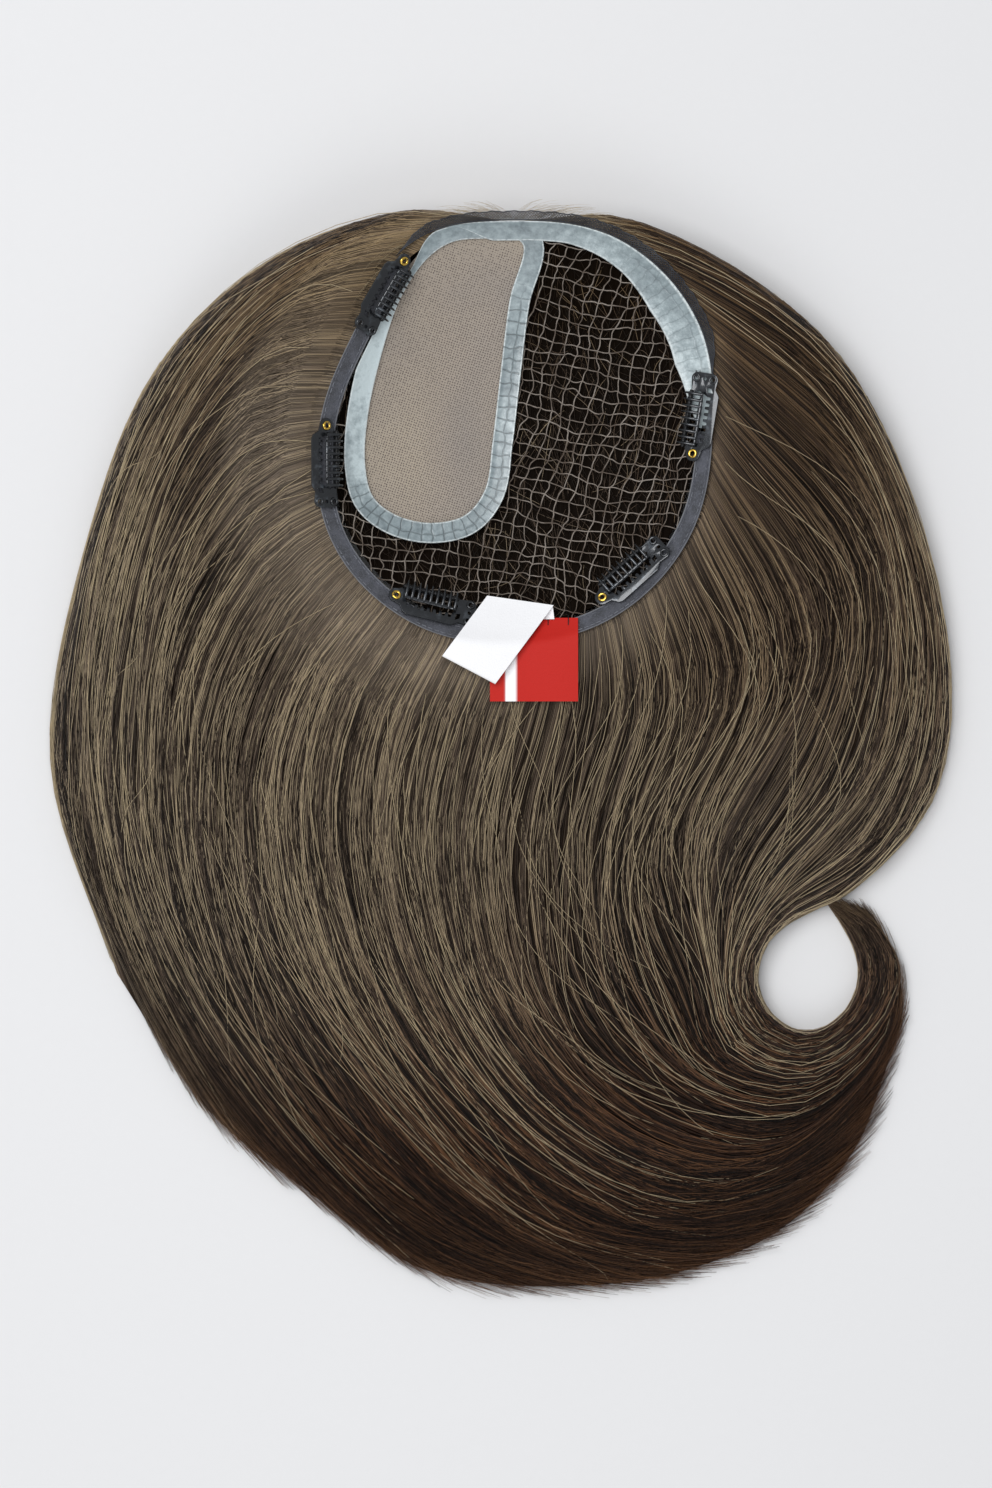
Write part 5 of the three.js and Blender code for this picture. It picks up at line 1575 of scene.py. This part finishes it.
class TOPPER_OT_labels(Operator):
    """Sew in the two bare labels: a red one with a woven stripe, and a folded white one over it"""

    bl_idname = "topper.labels"
    bl_label = "Labels"

    def execute(self, context):
        looks, thick = context.scene.topper_colours, context.scene.topper_sizes.cloth / MM
        rows, columns = 26, 61
        t, s = np.meshgrid(np.linspace(0, 1, rows), np.linspace(-1, 1, columns), indexing="ij")
        plan = label_plan(RED_LABEL, t, s)
        wave = 0.5 * np.sin(2.2 * s + 0.6) * t + 0.9 * t**3 * np.clip(s, 0, 1)
        under = label_height(plan, RED_LABEL[5]) + wave
        points, faces = slab(np.dstack([plan, under + thick]), np.dstack([plan, under]))
        stripe = smooth((0.14 - np.abs(s + 0.53)) / 0.02)
        width, size = RED_LABEL[3], RED_LABEL[4]
        uv = both_faces(np.stack([t * size, (s + 1) * width / 2], -1))
        material = ribbon_finish("red_ribbon", looks.red, looks.white)
        red = add_piece("red_ribbon_label", points, faces, material, "root",
                        {"stripe": both_faces(stripe)}, uv, "Strip", sharp=50)
        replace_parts(red, "red_label")
        s = np.array([-0.1, 0.32, 0.78])[:, None]
        t = np.linspace(-0.03, 0.09, 6)[None]
        plan = label_plan(RED_LABEL, *np.broadcast_arrays(t, s))
        up = label_height(plan, RED_LABEL[5]) + thick + 0.45 * np.sin(np.pi * np.linspace(0, 1, 6))
        points, faces = tubes(np.dstack([plan, up]), *[np.full(plan.shape[:2], 0.16)] * 2, sides=5)
        thread = thread_finish("label_thread", looks.tape_dark, looks.hair_shadow, 0.7)
        add_piece("label_stitches", points, faces, thread, "root")
        self.turned_end(looks, thick)
        white = self.folded(looks, thick)
        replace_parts(white, "white_label")
        return {"FINISHED"}

    def turned_end(self, looks, thick):
        """The white ribbon's way from its seam on the tape up to the fold at its sewn end: straight
        lines from the seam's level to the fold, which ease up by a smooth step."""
        s, rise = np.meshgrid(np.linspace(0.1, 0.97, 10), np.linspace(0, 1, 9), indexing="ij")
        plan = label_plan(WHITE_LABEL, np.zeros_like(s), s)
        seam_level = past_edge(RED_LABEL[0], -RED_LABEL[1])[1] - 0.5
        plan = np.dstack([plan[..., 0] + 0.6 * (1 - rise), mix(seam_level, plan[..., 1], rise)])
        under = label_height(plan, mix(RED_LABEL[5] + 2 * thick, WHITE_LABEL[5] + 0.1, smooth(rise)))
        points, faces = slab(np.dstack([plan, under + thick]), np.dstack([plan, under]))
        material = ribbon_finish("white_ribbon_end", looks.white)
        add_piece("white_label_turned_end", points, faces, material, "root",
                  None, both_faces(plan), "Strip", sharp=50)

    def folded(self, looks, thick):
        """The white label: one ribbon that runs out, turns back on itself at a round fold and
        returns over itself. Its section is the path of that loop with a thin wall."""
        width, size, lift = WHITE_LABEL[3:6]
        rise = 1.1
        straight = np.linspace(0, 1, 18)
        turn = np.linspace(-np.pi / 2, np.pi / 2, 9)[1:-1]
        share = np.concatenate([straight, 1 + np.cos(turn) * rise / 2 / size, straight[::-1]])
        height = np.concatenate([np.zeros(18), rise / 2 * (1 + np.sin(turn)), rise * np.ones(18)])
        slope = unit(np.stack([np.gradient(share * size), np.gradient(height)], -1))
        columns = 21
        s = np.linspace(-1, 1, columns)
        faces_of = []
        for side in (0.5, -0.5):
            along = share - slope[:, 1] * side * thick / size
            up = height + slope[:, 0] * side * thick
            plan = label_plan(WHITE_LABEL, *np.broadcast_arrays(along[:, None], s[None]))
            crown = 0.35 * (1 - s**2)[None] * smooth(share * 3)[:, None]
            faces_of.append(np.dstack([plan, label_height(plan, lift) + up[:, None] + crown]))
        points, faces = slab(*faces_of)
        run = path_run(np.stack([share * size, height], -1))
        uv = both_faces(np.stack(np.broadcast_arrays(run[:, None], (s[None] + 1) * width / 2), -1))
        material = ribbon_finish("white_ribbon", looks.white)
        white = add_piece("white_folded_label", points, faces, material, "root",
                          None, uv, "Strip", sharp=50)
        return white


# Stage

PHOTO_LENGTH = 1488
PHOTO_SCALE = 0.000348  # metres to a pixel
LENS = 180
SENSOR = 36


class TOPPER_OT_stage(Operator):
    """Set the pale floor, the soft lights and the camera that looks straight down"""

    bl_idname = "topper.stage"
    bl_label = "Stage"

    def execute(self, context):
        looks = context.scene.topper_colours
        finish = Finish("floor", Roughness=0.9, Specular_IOR_Level=0.1)
        grain = finish.noise(finish.where(), 300, 3)
        pale = tuple(0.985 * part for part in looks.floor[:3]) + (1,)
        material = finish.done(finish.blend(grain, looks.floor, pale))
        side = 4.0
        corners = np.array([[-side, -side, 0], [side, -side, 0], [side, side, 0], [-side, side, 0]])
        mesh = bpy.data.meshes.new("floor")
        mesh.from_pydata(corners.tolist(), [], [(0, 1, 2, 3)])
        mesh.materials.append(material)
        floor = bpy.data.objects.new("floor", mesh)
        context.scene.collection.objects.link(floor)
        self.light(context, "overhead_softbox", (-0.45, 0.35, 1.7), 1.1, 23)
        self.light(context, "back_softbox", (0.1, -0.9, 1.2), 0.9, 3.5)
        world = bpy.data.worlds.new("studio")
        world.use_nodes = True
        world.node_tree.nodes["Background"].inputs["Color"].default_value = (0.95, 0.97, 1, 1)
        world.node_tree.nodes["Background"].inputs["Strength"].default_value = 0.42
        context.scene.world = world
        context.scene.view_settings.view_transform = "Standard"
        data = bpy.data.cameras.new("camera")
        data.lens, data.sensor_width = LENS, SENSOR
        data.clip_start, data.clip_end = 0.05, 20
        camera = bpy.data.objects.new("camera", data)
        distance = PHOTO_LENGTH * PHOTO_SCALE * LENS / SENSOR
        camera.location = (-0.0016, 0.0021, distance + 0.02)
        context.scene.collection.objects.link(camera)
        context.scene.camera = camera
        return {"FINISHED"}

    def light(self, context, name, place, size, watts):
        """A square softbox that faces the object and isn't seen itself."""
        data = bpy.data.lights.new(name, "AREA")
        data.energy, data.size = watts, size
        lamp = bpy.data.objects.new(name, data)
        lamp.location = place
        lamp.rotation_euler = (-Vector(place)).to_track_quat("-Z", "Y").to_euler()
        lamp.visible_camera = False
        context.scene.collection.objects.link(lamp)


class TOPPER_PT_sidebar(Panel):
    """Sidebar with the steps in order, then the sizes and colours"""

    bl_idname = "TOPPER_PT_sidebar"
    bl_label = "Hair Topper"
    bl_space_type = "VIEW_3D"
    bl_region_type = "UI"
    bl_category = "Topper"

    def draw(self, context):
        column = self.layout.column(align=True)
        for step in STEPS:
            column.operator(step.bl_idname)
        for group in (context.scene.topper_sizes, context.scene.topper_colours):
            column = self.layout.column()
            for key in group.__annotations__:
                column.prop(group, key)


STEPS = (
    TOPPER_OT_stage, TOPPER_OT_hair, TOPPER_OT_under_hair, TOPPER_OT_net, TOPPER_OT_patch,
    TOPPER_OT_skin, TOPPER_OT_trims, TOPPER_OT_clips, TOPPER_OT_labels,
)
CLASSES = (TopperSizes, TopperColours, *STEPS, TOPPER_PT_sidebar)


def register():
    """Adds the settings, the steps and the sidebar."""
    for made in CLASSES:
        bpy.utils.register_class(made)
    bpy.types.Scene.topper_sizes = PointerProperty(type=TopperSizes)
    bpy.types.Scene.topper_colours = PointerProperty(type=TopperColours)


def unregister():
    """Takes them away again."""
    del bpy.types.Scene.topper_colours
    del bpy.types.Scene.topper_sizes
    for made in reversed(CLASSES):
        bpy.utils.unregister_class(made)


def main():
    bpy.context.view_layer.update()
    register()
    bpy.ops.topper.stage()
    bpy.ops.topper.hair()
    bpy.ops.topper.under_hair()
    bpy.ops.topper.net()
    bpy.ops.topper.patch()
    bpy.ops.topper.skin()
    bpy.ops.topper.trims()
    bpy.ops.topper.clips()
    bpy.ops.topper.labels()


if __name__ == "__main__":
    main()
